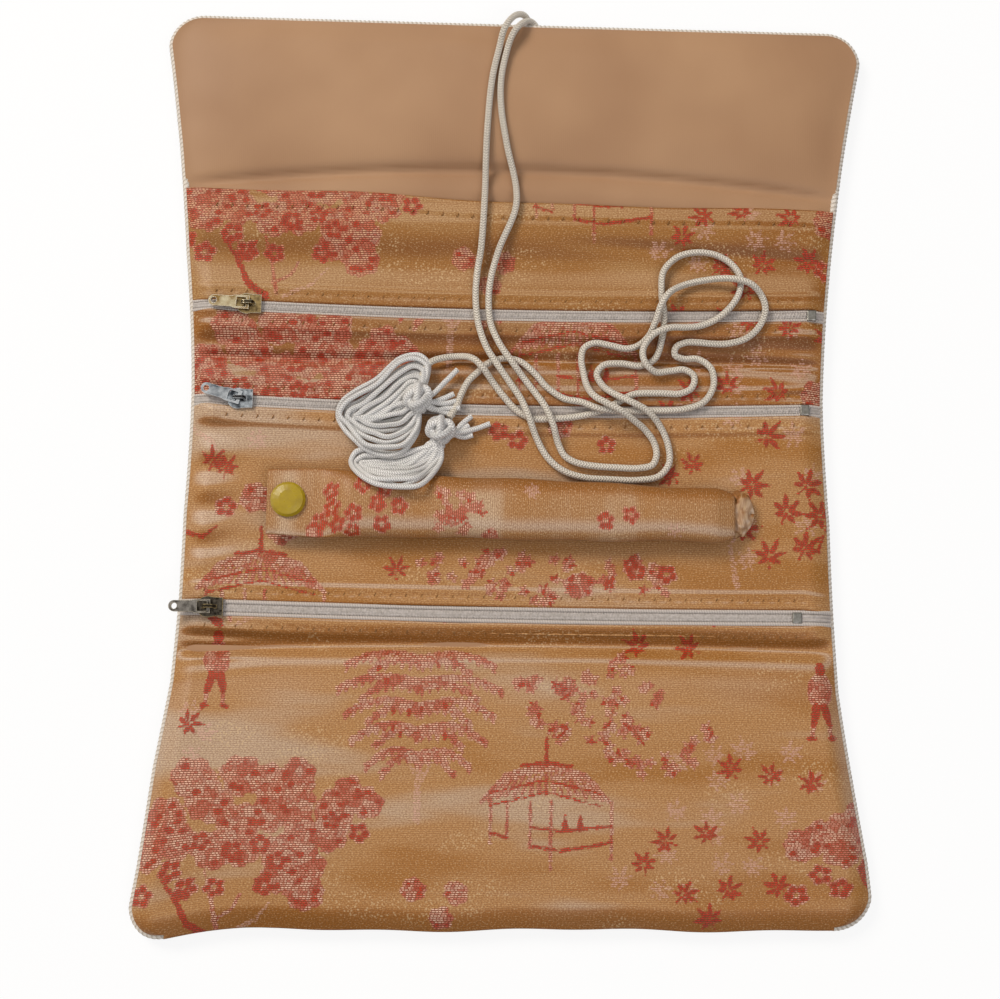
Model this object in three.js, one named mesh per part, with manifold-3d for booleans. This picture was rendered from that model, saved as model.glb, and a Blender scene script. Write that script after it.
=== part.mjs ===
// Brocade jewelry roll lying open, in millimetres.
// X runs across, Y from the foot to the flap, Z up from the table.
import * as THREE from "three";
import { mergeVertices } from "three/addons/utils/BufferGeometryUtils.js";
import Module from "manifold-3d";

const wasm = await Module();
wasm.setup();

// lengths of the four sections between the fold lines, from the flap down
const FLAP_LENGTH = 44;
const UPPER_LENGTH = 54;
const MIDDLE_LENGTH = 82.5;
const LOWER_LENGTH = 77.5;

// outline, edge of piping to edge of piping
const END_WIDTH = 200;
const WAIST_WIDTH = 177.5;
const WAIST_FROM_TOP = 114;
const WAIST_POWER = 1.7;
const CORNER_RADIUS = 9;

// where the cross seams lie, each from the fold line next to it
const MOUTH_FROM_FLAP_FOLD = 8.3;
const ZIP1_ABOVE_UPPER_FOLD = 13.4;
const ZIP2_BELOW_UPPER_FOLD = 13.9;
const ZIP3_ABOVE_LOWER_FOLD = 10;
const BAR_BELOW_UPPER_FOLD = 45.4;

// thickness of the layers, from the table up
const COVER_T = 0.7;
const WADDING_T = 2;
const LINING_T = 0.5;
const TAPE_T = 0.6;
const PANEL_T = 0.8;
const HEM_T = 0.5;
const HEM_WIDTH = 4.5;
const VALLEY_DEPTH = 1;
const VALLEY_WIDTH = 5;
const PANEL_CROWN = 0.8;
const FLAP_CROWN = 4;
const FLAP_EDGE_T = 1;

// clearances
const CLEAR = 0.3;
const FOLD_GAP = 0.4;

// cords
const PIPING_D = 2.4;
const PIPING_Z = 3;
const TIE_D = 1.9;
const TIE_RISE = 2.4;
const LOOP_D = 1.6;
const LOOP_PITCH = 2.45;
const LOOP_RISE = 2.6;
const KNOT_D = 7.5;

// zips
const ZIP_WINDOW = 5.6;
const TAPE_WIDTH = 10;
const TAPE_SLOT = 1.4;
const COIL_WIDTH = 3.2;
const COIL_T = 1.6;
const TOOTH_PITCH = 3.2;
const TOOTH_DEPTH = 1.3;
const TOOTH_GAP = 0.5;
const STOP_LENGTH = 2.6;
const STOP_WIDTH = 3;
const STOP_EDGE = 0.3;

// slider and pull
const SLIDER_LENGTH = 7.4;
const SLIDER_WIDTH = 5.9;
const SLIDER_TOP_T = 0.7;
const SLIDER_BACK_T = 0.5;
const FLANGE_T = 0.6;
const BAIL_WIDTH = 0.9;
const BAIL_SPAN = 4;
const BAIL_WIRE = 0.7;
const PIN_T = 0.9;
const PULL_LENGTH = 11.2;
const PULL_WIDTH = 3.8;
const PULL_RAIL = 0.5;
const PULL_SLOT = 3.2;
const PULL_NECK = 0.35;
const PULL_EYE = 1.7;
const PULL_DROOP = 4;

// ring bar and its snap
const BAR_LEFT = -66.4;
const BAR_RIGHT = 65;
const BAR_WIDTH = 17.6;
const BAR_HEIGHT = 8.6;
const BAR_CLOTH_T = 0.9;
const BAR_TAB_T = 1.6;
const BAR_TAB_LENGTH = 14;
const STUB_LENGTH = 4.4;
const STUB_T = 0.7;
const SNAP_X = -60.5;
const SNAP_OFFSET = 2.6;
const CAP_D = 9.8;
const CAP_T = 1.6;
const CAP_POST_D = 2.4;
const SOCKET_D = 8;
const SOCKET_T = 1.8;
const STUD_D = 8;
const STUD_BASE_T = 0.6;
const STUD_BALL_D = 3.2;
const STUD_BALL_H = 1.4;

// heights that follow from the layers
const WADDING_Z = COVER_T + CLEAR;
const LINING_Z = WADDING_Z + WADDING_T + CLEAR;
const LINING_TOP = LINING_Z + LINING_T;
const BACK_Z = LINING_TOP + CLEAR;
const TAPE_Z = BACK_Z + SLIDER_BACK_T + CLEAR;
const TAPE_TOP = TAPE_Z + TAPE_T;
const PANEL_Z = TAPE_TOP + CLEAR;
const PANEL_TOP = PANEL_Z + PANEL_T;
const COIL_Z = TAPE_TOP + CLEAR;
const COIL_TOP = COIL_Z + COIL_T;
const PLATE_Z = COIL_TOP + CLEAR;
const PLATE_TOP = PLATE_Z + SLIDER_TOP_T;
const PIN_Z = PLATE_TOP + CLEAR + PIN_T * 0.75;
const BAIL_TOP = PIN_Z + PIN_T * 0.75 + CLEAR + BAIL_WIRE;
const SURFACE = Math.max(COIL_TOP, PANEL_TOP + HEM_T);
const TIE_Z = SURFACE + CLEAR + TIE_D / 2;
const STUD_Z = PANEL_TOP + CLEAR;
const SOCKET_Z = STUD_Z + STUD_BASE_T + CLEAR;
const TAB_Z = SOCKET_Z + SOCKET_T + CLEAR;
const CAP_Z = TAB_Z + BAR_TAB_T + CLEAR;
const BAR_Z = PANEL_TOP + CLEAR;
const BAR_TOP = BAR_Z + BAR_HEIGHT;

// places along Y
const LENGTH = FLAP_LENGTH + UPPER_LENGTH + MIDDLE_LENGTH + LOWER_LENGTH;
const TOP = LENGTH / 2;
const FLAP_FOLD = TOP - FLAP_LENGTH;
const UPPER_FOLD = FLAP_FOLD - UPPER_LENGTH;
const LOWER_FOLD = UPPER_FOLD - MIDDLE_LENGTH;
const FOOT = -TOP;
const MOUTH_Y = FLAP_FOLD - MOUTH_FROM_FLAP_FOLD;
const ZIP1_Y = UPPER_FOLD + ZIP1_ABOVE_UPPER_FOLD;
const ZIP2_Y = UPPER_FOLD - ZIP2_BELOW_UPPER_FOLD;
const ZIP3_Y = LOWER_FOLD + ZIP3_ABOVE_LOWER_FOLD;
const BAR_Y = UPPER_FOLD - BAR_BELOW_UPPER_FOLD;
const WAIST_Y = TOP - WAIST_FROM_TOP;
const INSET = PIPING_D + CLEAR;

const cloth = (name, color, roughness) => {
  const made = new THREE.MeshStandardMaterial({ color, roughness, metalness: 0 });
  made.name = name;
  return made;
};
const metal = (name, color, roughness) => {
  const made = new THREE.MeshStandardMaterial({ color, roughness, metalness: 1 });
  made.name = name;
  return made;
};
const BROCADE = cloth("brocade", 0xc4965f, 0.55);
const SATIN = cloth("satin_lining", 0xbf9876, 0.4);
const WADDING = cloth("wadding", 0xe8e4da, 0.95);
const PIPING = cloth("piping_cord", 0xd8d2ca, 0.7);
const TIE = cloth("tie_cord", 0xdedad5, 0.65);
const TAPE = cloth("zip_tape", 0xcdc4bf, 0.8);
const COIL = cloth("zip_coil", 0xb9b2ae, 0.45);
const SLIDER = metal("slider_metal", 0xb9b2a4, 0.3);
const SNAP = metal("snap_metal", 0xa9a49a, 0.35);
const ENAMEL = cloth("snap_enamel", 0xb4a019, 0.35);

const roll = new THREE.Group();
roll.name = "jewelry_roll";

function toSolid(geometry) {
  const flat = geometry.index ? geometry.toNonIndexed() : geometry;
  const bare = new THREE.BufferGeometry();
  bare.setAttribute("position", flat.getAttribute("position"));
  const merged = mergeVertices(bare, 1e-4);
  const mesh = new wasm.Mesh({
    numProp: 3,
    vertProperties: merged.attributes.position.array,
    triVerts: new Uint32Array(merged.index.array),
  });
  return new wasm.Manifold(mesh);
}

function toGeometry(solid) {
  const mesh = solid.getMesh();
  const geometry = new THREE.BufferGeometry();
  geometry.setAttribute("position", new THREE.BufferAttribute(mesh.vertProperties, 3));
  geometry.setIndex(new THREE.BufferAttribute(mesh.triVerts, 1));
  geometry.computeVertexNormals();
  return geometry;
}

function place(name, shape, material) {
  const geometry = shape.isBufferGeometry ? shape : toGeometry(shape);
  const mesh = new THREE.Mesh(geometry, material);
  mesh.name = name;
  roll.add(mesh);
}

// half the width of the outline at a place along Y: drawn in at the waist by the zips
function halfWidth(y) {
  const reach = (y > WAIST_Y ? TOP - WAIST_Y : WAIST_Y - FOOT) - CORNER_RADIUS;
  const share = Math.min(1, Math.abs(y - WAIST_Y) / reach);
  return WAIST_WIDTH / 2 + ((END_WIDTH - WAIST_WIDTH) / 2) * Math.pow(share, WAIST_POWER);
}

// points of the outline's right side from one place along Y to a higher one,
// round the corners where it meets them
function sidePoints(inset, low, high) {
  const radius = CORNER_RADIUS;
  const points = [];
  const bend = (end, sign) => {
    const y = end - sign * (inset + radius);
    const x = halfWidth(y) - inset - radius;
    const arc = [];
    for (let k = 0; k <= 5; k += 1) {
      const turn = (k / 5) * (Math.PI / 2);
      arc.push(new THREE.Vector2(x + radius * Math.cos(turn), y + sign * radius * Math.sin(turn)));
    }
    return arc;
  };
  const from = low === FOOT ? FOOT + inset + radius : low;
  const to = high === TOP ? TOP - inset - radius : high;
  if (low === FOOT) {
    points.push(...bend(FOOT, -1).reverse());
  }
  const parts = Math.max(2, Math.round((to - from) / 14));
  for (let k = low === FOOT ? 1 : 0; k <= parts - (high === TOP ? 1 : 0); k += 1) {
    const y = from + ((to - from) * k) / parts;
    points.push(new THREE.Vector2(halfWidth(y) - inset, y));
  }
  if (high === TOP) {
    points.push(...bend(TOP, 1));
  }
  return points;
}

// an upright block with the outline of one stretch of the roll
function outlineBlock(inset, low, high, bottom, top) {
  const right = sidePoints(inset, low, high);
  const left = right.map((p) => new THREE.Vector2(-p.x, p.y)).reverse();
  const shape = new THREE.Shape([...right, ...left]);
  const geometry = new THREE.ExtrudeGeometry(shape, { depth: top - bottom, bevelEnabled: false });
  geometry.translate(0, 0, bottom);
  return geometry;
}

// a flat layer of one section, a fold gap short of its fold lines
function layer(low, high, bottom, top) {
  const from = low === FOOT ? FOOT : low + FOLD_GAP / 2;
  const to = high === TOP ? TOP : high - FOLD_GAP / 2;
  return outlineBlock(INSET, from, to, bottom, top);
}

// a piece with one Y-Z profile all across, cut at the sides to the outline
function runAcross(profile) {
  const shape = new THREE.Shape(profile.map((p) => new THREE.Vector2(p[0], p[1])));
  const geometry = new THREE.ExtrudeGeometry(shape, { depth: END_WIDTH, bevelEnabled: false });
  const turn = new THREE.Matrix4().makeBasis(
    new THREE.Vector3(0, 1, 0),
    new THREE.Vector3(0, 0, 1),
    new THREE.Vector3(1, 0, 0),
  );
  geometry.applyMatrix4(turn);
  geometry.translate(-END_WIDTH / 2, 0, 0);
  return toSolid(geometry).intersect(toSolid(outlineBlock(INSET, FOOT, TOP, -1, BAR_TOP)));
}

// a cloth panel from its underside line, low Y to high Y, with a doubled hem at either end
function panel(line, hemLow, hemHigh) {
  const low = line[0][0];
  const high = line[line.length - 1][0];
  const over = line.map((p) => [p[0], p[1] + PANEL_T]);
  const profile = [...line];
  const back = over.reverse();
  if (hemHigh) {
    const z = back[0][1];
    back.splice(0, 1, [high, z + HEM_T], [high - HEM_WIDTH, z + HEM_T], [high - HEM_WIDTH - HEM_T, z]);
  }
  if (hemLow) {
    const z = back[back.length - 1][1];
    const fold = [[low + HEM_WIDTH + HEM_T, z], [low + HEM_WIDTH, z + HEM_T], [low, z + HEM_T]];
    back.splice(back.length - 1, 1, ...fold);
  }
  return runAcross([...profile, ...back]);
}

// a closed tube along a curve
function tube(curve, diameter, sides, steps) {
  const ring = [];
  for (let k = 0; k < sides; k += 1) {
    const turn = ((k + 0.5) / sides) * Math.PI * 2;
    ring.push(new THREE.Vector2((Math.cos(turn) * diameter) / 2, (Math.sin(turn) * diameter) / 2));
  }
  return new THREE.ExtrudeGeometry(new THREE.Shape(ring), { steps, extrudePath: curve, bevelEnabled: false });
}

function polygonPrism(points, bottom, top) {
  const shape = new THREE.Shape(points.map((p) => new THREE.Vector2(p[0], p[1])));
  const geometry = new THREE.ExtrudeGeometry(shape, { depth: top - bottom, bevelEnabled: false });
  geometry.translate(0, 0, bottom);
  return geometry;
}

function lathed(profile, segments) {
  const geometry = new THREE.LatheGeometry(
    profile.map((p) => new THREE.Vector2(p[0], p[1])),
    segments,
  );
  geometry.rotateX(Math.PI / 2);
  return geometry;
}

// outer cover, wadding and satin lining of the three flat sections
const sections = [
  ["upper", UPPER_FOLD, FLAP_FOLD],
  ["middle", LOWER_FOLD, UPPER_FOLD],
  ["lower", FOOT, LOWER_FOLD],
];
for (const [name, low, high] of sections) {
  place(name + "_outer_cover", layer(low, high, 0, COVER_T), BROCADE);
  place(name + "_wadding", layer(low, high, WADDING_Z, WADDING_Z + WADDING_T), WADDING);
  place(name + "_lining", layer(low, high, LINING_Z, LINING_TOP), SATIN);
}

// the flap: a thin cushion, full in the middle and drawn in along its seams
function flapSwell(x, y) {
  const across = Math.min(1, Math.abs(x) / (halfWidth(y) - INSET));
  const middle = (TOP - INSET + FLAP_FOLD) / 2;
  const along = Math.min(1, Math.abs(y - middle) / ((TOP - INSET - FLAP_FOLD) / 2));
  return FLAP_CROWN * (1 - Math.pow(across, 6)) * (1 - Math.pow(along, 4));
}
function flapLayer(bottomAt, topAt) {
  const columns = 14;
  const rows = 8;
  const low = FLAP_FOLD + FOLD_GAP / 2;
  const corner = (i, j, height) => {
    const y = low + ((TOP - low) * j) / rows;
    const x = (i / columns - 0.5) * END_WIDTH;
    return [x, y, height(x, y)];
  };
  const positions = [];
  const quad = (a, b, c, d) => positions.push(...a, ...b, ...c, ...a, ...c, ...d);
  for (let i = 0; i < columns; i += 1) {
    for (let j = 0; j < rows; j += 1) {
      quad(
        corner(i, j, topAt),
        corner(i + 1, j, topAt),
        corner(i + 1, j + 1, topAt),
        corner(i, j + 1, topAt),
      );
      quad(
        corner(i, j, bottomAt),
        corner(i, j + 1, bottomAt),
        corner(i + 1, j + 1, bottomAt),
        corner(i + 1, j, bottomAt),
      );
    }
  }
  for (let i = 0; i < columns; i += 1) {
    quad(corner(i, 0, bottomAt), corner(i + 1, 0, bottomAt), corner(i + 1, 0, topAt), corner(i, 0, topAt));
    quad(
      corner(i + 1, rows, bottomAt),
      corner(i, rows, bottomAt),
      corner(i, rows, topAt),
      corner(i + 1, rows, topAt),
    );
  }
  for (let j = 0; j < rows; j += 1) {
    quad(corner(0, j + 1, bottomAt), corner(0, j, bottomAt), corner(0, j, topAt), corner(0, j + 1, topAt));
    quad(
      corner(columns, j, bottomAt),
      corner(columns, j + 1, bottomAt),
      corner(columns, j + 1, topAt),
      corner(columns, j, topAt),
    );
  }
  const geometry = new THREE.BufferGeometry();
  geometry.setAttribute("position", new THREE.Float32BufferAttribute(positions, 3));
  return toSolid(geometry).intersect(toSolid(outlineBlock(INSET, low, TOP, -1, BAR_TOP)));
}
const flapWaddingTop = (x, y) => WADDING_Z + FLAP_EDGE_T + flapSwell(x, y);
const flapLiningBottom = (x, y) => flapWaddingTop(x, y) + CLEAR;
const flapLiningTop = (x, y) => flapLiningBottom(x, y) + LINING_T;
place("flap_outer_cover", layer(FLAP_FOLD, TOP, 0, COVER_T), BROCADE);
place("flap_wadding", flapLayer(() => WADDING_Z, flapWaddingTop), WADDING);
place("flap_lining", flapLayer(flapLiningBottom, flapLiningTop), SATIN);

// twisted piping round the edge, parted at the fold lines
function pipingRun(points) {
  const curve = new THREE.CatmullRomCurve3(points.map((p) => new THREE.Vector3(p.x, p.y, PIPING_Z)));
  return tube(curve, PIPING_D, 8, Math.max(4, Math.round(curve.getLength() / 6)));
}
function pipingSide(low, high) {
  return sidePoints(PIPING_D / 2, low, high);
}
const mirrored = (points) => points.map((p) => new THREE.Vector2(-p.x, p.y));
// a side, the straight end edge and the other side in one run
function pipingRound(side) {
  const corner = side[side.length - 1];
  const edge = [];
  for (let k = 1; k < 10; k += 1) {
    edge.push(new THREE.Vector2(corner.x * (1 - k / 5), corner.y));
  }
  return [...side, ...edge, ...mirrored(side).reverse()];
}
const flapSide = pipingSide(FLAP_FOLD + FOLD_GAP / 2, TOP);
place("flap_piping", pipingRun(pipingRound(flapSide)), PIPING);
const lowerSide = pipingSide(FOOT, LOWER_FOLD - FOLD_GAP / 2).reverse();
place("lower_piping", pipingRun(pipingRound(lowerSide)), PIPING);
for (const [name, low, high] of sections.slice(0, 2)) {
  const side = pipingSide(low + FOLD_GAP / 2, high - FOLD_GAP / 2);
  place(name + "_piping_right", pipingRun(side), PIPING);
  place(name + "_piping_left", pipingRun(mirrored(side)), PIPING);
}

// brocade pocket panels: flat runs, a valley at each fold line and a free mouth on the slip pocket
const HALF_WINDOW = ZIP_WINDOW / 2;
const valley = PANEL_Z - VALLEY_DEPTH;
place(
  "slip_pocket_panel",
  panel(
    [
      [ZIP1_Y + HALF_WINDOW, PANEL_Z],
      [MOUTH_Y - 14, PANEL_Z],
      [MOUTH_Y - 7, LINING_TOP + CLEAR * 2],
      [MOUTH_Y, LINING_TOP + CLEAR],
    ],
    true,
    true,
  ),
  BROCADE,
);
place(
  "first_pocket_panel_upper",
  panel(
    [
      [UPPER_FOLD + FOLD_GAP / 2, valley],
      [UPPER_FOLD + VALLEY_WIDTH / 2, valley + VALLEY_DEPTH * 0.7],
      [UPPER_FOLD + VALLEY_WIDTH, PANEL_Z],
      [ZIP1_Y - HALF_WINDOW, PANEL_Z],
    ],
    false,
    true,
  ),
  BROCADE,
);
place(
  "first_pocket_panel_lower",
  panel(
    [
      [ZIP2_Y + HALF_WINDOW, PANEL_Z],
      [UPPER_FOLD - VALLEY_WIDTH, PANEL_Z],
      [UPPER_FOLD - VALLEY_WIDTH / 2, valley + VALLEY_DEPTH * 0.7],
      [UPPER_FOLD - FOLD_GAP / 2, valley],
    ],
    true,
    false,
  ),
  BROCADE,
);
const SNAP_Y = BAR_Y + SNAP_OFFSET;
const postHole = toSolid(
  lathed(
    [
      [0, PANEL_Z - 1],
      [CAP_POST_D, PANEL_Z - 1],
      [CAP_POST_D, PANEL_TOP + 1],
      [0, PANEL_TOP + 1],
    ],
    12,
  ),
);
place(
  "ring_bar_pocket_panel",
  panel(
    [
      [ZIP3_Y + HALF_WINDOW, PANEL_Z],
      [ZIP2_Y - HALF_WINDOW, PANEL_Z],
    ],
    true,
    true,
  ).subtract(postHole.translate([SNAP_X, SNAP_Y, 0])),
  BROCADE,
);
place(
  "lower_pocket_panel_strip",
  panel(
    [
      [LOWER_FOLD + FOLD_GAP / 2, valley],
      [LOWER_FOLD + VALLEY_WIDTH / 2, valley + VALLEY_DEPTH * 0.7],
      [ZIP3_Y - HALF_WINDOW, PANEL_Z],
    ],
    false,
    false,
  ),
  BROCADE,
);
place(
  "lower_pocket_panel",
  panel(
    [
      [FOOT + INSET, LINING_TOP + CLEAR],
      [FOOT + INSET + 4, LINING_TOP + CLEAR + 1],
      [FOOT + INSET + 12, PANEL_Z],
      [FOOT + LOWER_LENGTH / 2, PANEL_Z + PANEL_CROWN],
      [LOWER_FOLD - VALLEY_WIDTH * 2, PANEL_Z],
      [LOWER_FOLD - VALLEY_WIDTH / 2, valley + VALLEY_DEPTH * 0.7],
      [LOWER_FOLD - FOLD_GAP / 2, valley],
    ],
    false,
    false,
  ),
  BROCADE,
);

// zips, closed: two tapes, two toothed coils, a slider with its pull at the left, a stop at the right
function coilHalf(side, from, to) {
  const count = Math.round((to - from) / TOOTH_PITCH);
  const points = [];
  for (let k = 0; k <= count * 2; k += 1) {
    const x = from + ((to - from) * k) / (count * 2);
    const swing = (k % 2 === 0 ? -1 : 1) * (TOOTH_DEPTH / 2);
    points.push([x, swing + (side * TOOTH_GAP) / 2]);
  }
  const edge = (side * COIL_WIDTH) / 2;
  return polygonPrism([...points, [to, edge], [from, edge]], COIL_Z, COIL_TOP);
}

function sliderShape() {
  const half = SLIDER_LENGTH / 2;
  const wide = SLIDER_WIDTH / 2;
  const tail = wide - FLANGE_T * 0.6;
  const nose = tail * 0.62;
  const shape = new THREE.Shape();
  shape.moveTo(half, -tail);
  shape.lineTo(half, tail);
  shape.quadraticCurveTo(half * 0.2, tail, -half * 0.05, wide);
  shape.quadraticCurveTo(-half * 0.6, wide, -half * 0.82, nose);
  shape.quadraticCurveTo(-half, 0, -half * 0.82, -nose);
  shape.quadraticCurveTo(-half * 0.6, -wide, -half * 0.05, -wide);
  shape.quadraticCurveTo(half * 0.2, -tail, half, -tail);
  const outline = shape.getPoints(5).map((p) => [p.x, p.y]);
  const plate = toSolid(polygonPrism(outline, PLATE_Z, PLATE_TOP));
  const back = toSolid(polygonPrism(outline, BACK_Z, BACK_Z + SLIDER_BACK_T));
  const bridge = [
    [-half * 0.9, 0],
    [-half * 0.6, 0.4 - TAPE_SLOT / 2],
    [-half * 0.35, 0],
    [-half * 0.6, TAPE_SLOT / 2 - 0.4],
  ];
  const diamond = toSolid(polygonPrism(bridge, BACK_Z, PLATE_TOP));
  const inner = COIL_WIDTH / 2 + CLEAR;
  const flange = (side) =>
    toSolid(
      polygonPrism(
        [
          [-half * 0.5, side * inner],
          [-half * 0.5, side * (inner + FLANGE_T)],
          [half, side * (inner + FLANGE_T - 0.2)],
          [half, side * inner],
        ],
        COIL_Z,
        PLATE_TOP,
      ),
    );
  const foot = BAIL_SPAN / 2;
  const gap = foot - BAIL_WIRE;
  const arch = new THREE.Shape();
  arch.moveTo(-foot, PLATE_TOP - 0.2);
  arch.lineTo(foot, PLATE_TOP - 0.2);
  arch.bezierCurveTo(foot, BAIL_TOP - 0.4, gap, BAIL_TOP, gap * 0.6, BAIL_TOP);
  arch.lineTo(-gap * 0.6, BAIL_TOP);
  arch.bezierCurveTo(-gap, BAIL_TOP, -foot, BAIL_TOP - 0.4, -foot, PLATE_TOP - 0.2);
  const under = new THREE.Path();
  under.moveTo(-gap, PLATE_TOP);
  under.lineTo(-gap, BAIL_TOP - BAIL_WIRE);
  under.lineTo(gap, BAIL_TOP - BAIL_WIRE);
  under.lineTo(gap, PLATE_TOP);
  arch.holes.push(under);
  const bail = new THREE.ExtrudeGeometry(arch, { depth: BAIL_WIDTH, bevelEnabled: false, curveSegments: 4 });
  bail.translate(0, 0, -BAIL_WIDTH / 2);
  bail.rotateX(Math.PI / 2);
  return plate.add(back).add(diamond).add(flange(1)).add(flange(-1)).add(toSolid(bail));
}

function pullShape() {
  const wide = PULL_WIDTH / 2;
  const end = PIN_T / 2;
  const tongue = wide - PULL_NECK;
  const tip = tongue - PULL_LENGTH;
  const shape = new THREE.Shape();
  shape.moveTo(end, -wide);
  shape.lineTo(end, wide);
  shape.lineTo(-PULL_SLOT, wide);
  shape.bezierCurveTo(-PULL_SLOT - 1, wide, -PULL_SLOT - 1, tongue, -PULL_SLOT - 2, tongue);
  shape.lineTo(tip, tongue);
  shape.absarc(tip, 0, tongue, Math.PI / 2, Math.PI * 1.5, false);
  shape.lineTo(-PULL_SLOT - 2, -tongue);
  shape.bezierCurveTo(-PULL_SLOT - 1, -tongue, -PULL_SLOT - 1, -wide, -PULL_SLOT, -wide);
  const slot = new THREE.Path();
  const rail = wide - PULL_RAIL;
  slot.moveTo(-end, -rail);
  slot.lineTo(-PULL_SLOT, -rail);
  slot.lineTo(-PULL_SLOT, rail);
  slot.lineTo(-end, rail);
  const eye = new THREE.Path();
  eye.absarc(tip, 0, PULL_EYE / 2, 0, Math.PI * 2, true);
  shape.holes.push(slot, eye);
  const geometry = new THREE.ExtrudeGeometry(shape, { depth: PIN_T, bevelEnabled: false, curveSegments: 8 });
  geometry.translate(0, 0, -PIN_T / 2);
  return geometry;
}

function stopShape() {
  const near = STOP_EDGE;
  const far = STOP_LENGTH - STOP_EDGE;
  const wide = STOP_WIDTH / 2 - STOP_EDGE;
  const shape = new THREE.Shape();
  shape.moveTo(near, -wide);
  shape.lineTo(far, -wide);
  shape.lineTo(far, wide);
  shape.lineTo(near, wide);
  const geometry = new THREE.ExtrudeGeometry(shape, {
    depth: COIL_T - STOP_EDGE * 2,
    bevelThickness: STOP_EDGE,
    bevelSize: STOP_EDGE,
    bevelSegments: 2,
  });
  return geometry.translate(0, 0, COIL_Z + STOP_EDGE);
}

// each zip: name, place along Y, how far in from the left edge its slider is and its pull's turn to the side
// in degrees, how far in from the right edge its stop is
const zips = [
  ["zip1", ZIP1_Y, 16, -4, 6],
  ["zip2", ZIP2_Y, 13.3, -16, 6.8],
  ["zip3", ZIP3_Y, 9.8, 0, 11.8],
];
for (const [name, y, sliderIn, yaw, stopIn] of zips) {
  const sliderX = sliderIn - halfWidth(y);
  const stopX = halfWidth(y) - stopIn;
  const coilFrom = sliderX - SLIDER_LENGTH * 0.1;
  const strip = (near, far) => runAcross([[near, TAPE_Z], [far, TAPE_Z], [far, TAPE_TOP], [near, TAPE_TOP]]);
  place(name + "_upper_tape", strip(y + TAPE_SLOT / 2, y + TAPE_WIDTH), TAPE);
  place(name + "_lower_tape", strip(y - TAPE_WIDTH * 0.72, y - TAPE_SLOT / 2), TAPE);
  place(name + "_upper_coil", coilHalf(1, coilFrom, stopX - CLEAR).translate(0, y, 0), COIL);
  place(name + "_lower_coil", coilHalf(-1, coilFrom, stopX - CLEAR).translate(0, y, 0), COIL);
  place(name + "_stop", stopShape().translate(stopX, y, 0), SLIDER);
  place(name + "_slider", sliderShape().translate([sliderX, y, 0]), SLIDER);
  const pull = pullShape();
  pull.rotateY((-PULL_DROOP * Math.PI) / 180);
  pull.rotateZ((yaw * Math.PI) / 180);
  place(name + "_pull", pull.translate(sliderX, y, PIN_Z), SLIDER);
}

// ring bar: a stuffed cloth tube, flat at the snap end and drawn to a thin seam at the sewn end
function loft(stations, sides) {
  const rings = stations.map(([x, half, bottom, top]) => {
    const ring = [];
    for (let k = 0; k < sides; k += 1) {
      const turn = (k / sides) * Math.PI * 2;
      const round = (v) => Math.sign(v) * Math.pow(Math.abs(v), 0.8);
      const y = BAR_Y + half * round(Math.cos(turn));
      const z = (bottom + top) / 2 + ((top - bottom) / 2) * round(Math.sin(turn));
      ring.push([x, y, z]);
    }
    return ring;
  });
  const positions = [];
  for (let s = 0; s < rings.length - 1; s += 1) {
    for (let k = 0; k < sides; k += 1) {
      const a = rings[s][k];
      const b = rings[s][(k + 1) % sides];
      const c = rings[s + 1][(k + 1) % sides];
      const d = rings[s + 1][k];
      positions.push(...a, ...b, ...c, ...a, ...c, ...d);
    }
  }
  const last = rings.length - 1;
  for (let k = 1; k < sides - 1; k += 1) {
    positions.push(...rings[0][0], ...rings[0][k + 1], ...rings[0][k]);
    positions.push(...rings[last][0], ...rings[last][k], ...rings[last][k + 1]);
  }
  const geometry = new THREE.BufferGeometry();
  geometry.setAttribute("position", new THREE.Float32BufferAttribute(positions, 3));
  return toSolid(geometry);
}
const BAR_HALF = BAR_WIDTH / 2;
const tabEnd = BAR_LEFT + BAR_TAB_LENGTH;
const barOuter = [
  [BAR_LEFT, BAR_HALF * 0.8, TAB_Z, TAB_Z + BAR_TAB_T],
  [BAR_LEFT + 1.2, BAR_HALF, TAB_Z, TAB_Z + BAR_TAB_T],
  [tabEnd, BAR_HALF, TAB_Z, TAB_Z + BAR_TAB_T],
  [tabEnd + 5, BAR_HALF, BAR_Z + 0.8, BAR_TOP - 1.2],
  [tabEnd + 11, BAR_HALF, BAR_Z, BAR_TOP],
  [BAR_RIGHT - 15, BAR_HALF * 0.96, BAR_Z, BAR_TOP],
  [BAR_RIGHT - 8, BAR_HALF * 0.9, BAR_Z, BAR_Z + BAR_HEIGHT * 0.78],
  [BAR_RIGHT - 3, BAR_HALF * 0.74, BAR_Z, BAR_Z + BAR_HEIGHT * 0.35],
  [BAR_RIGHT - 0.4, BAR_HALF * 0.62, BAR_Z, BAR_Z + BAR_CLOTH_T],
];
const slack = (grow) => [
  [tabEnd + 7.5 - grow, BAR_HALF - BAR_CLOTH_T - CLEAR + grow, BAR_Z + 2.2 - grow, BAR_TOP - 2.6 + grow],
  [tabEnd + 12, BAR_HALF - BAR_CLOTH_T - CLEAR + grow, BAR_Z + 1.2 - grow, BAR_TOP - 1.2 + grow],
  [BAR_RIGHT - 16, BAR_HALF * 0.96 - BAR_CLOTH_T - CLEAR + grow, BAR_Z + 1.2 - grow, BAR_TOP - 1.2 + grow],
  [
    BAR_RIGHT - 9.5 + grow,
    BAR_HALF * 0.9 - 1.6 + grow,
    BAR_Z + 1.2 - grow,
    BAR_Z + BAR_HEIGHT * 0.78 - 1.4 + grow,
  ],
];
const filling = loft(slack(0), 16);
const hollow = loft(slack(CLEAR), 16);
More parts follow.
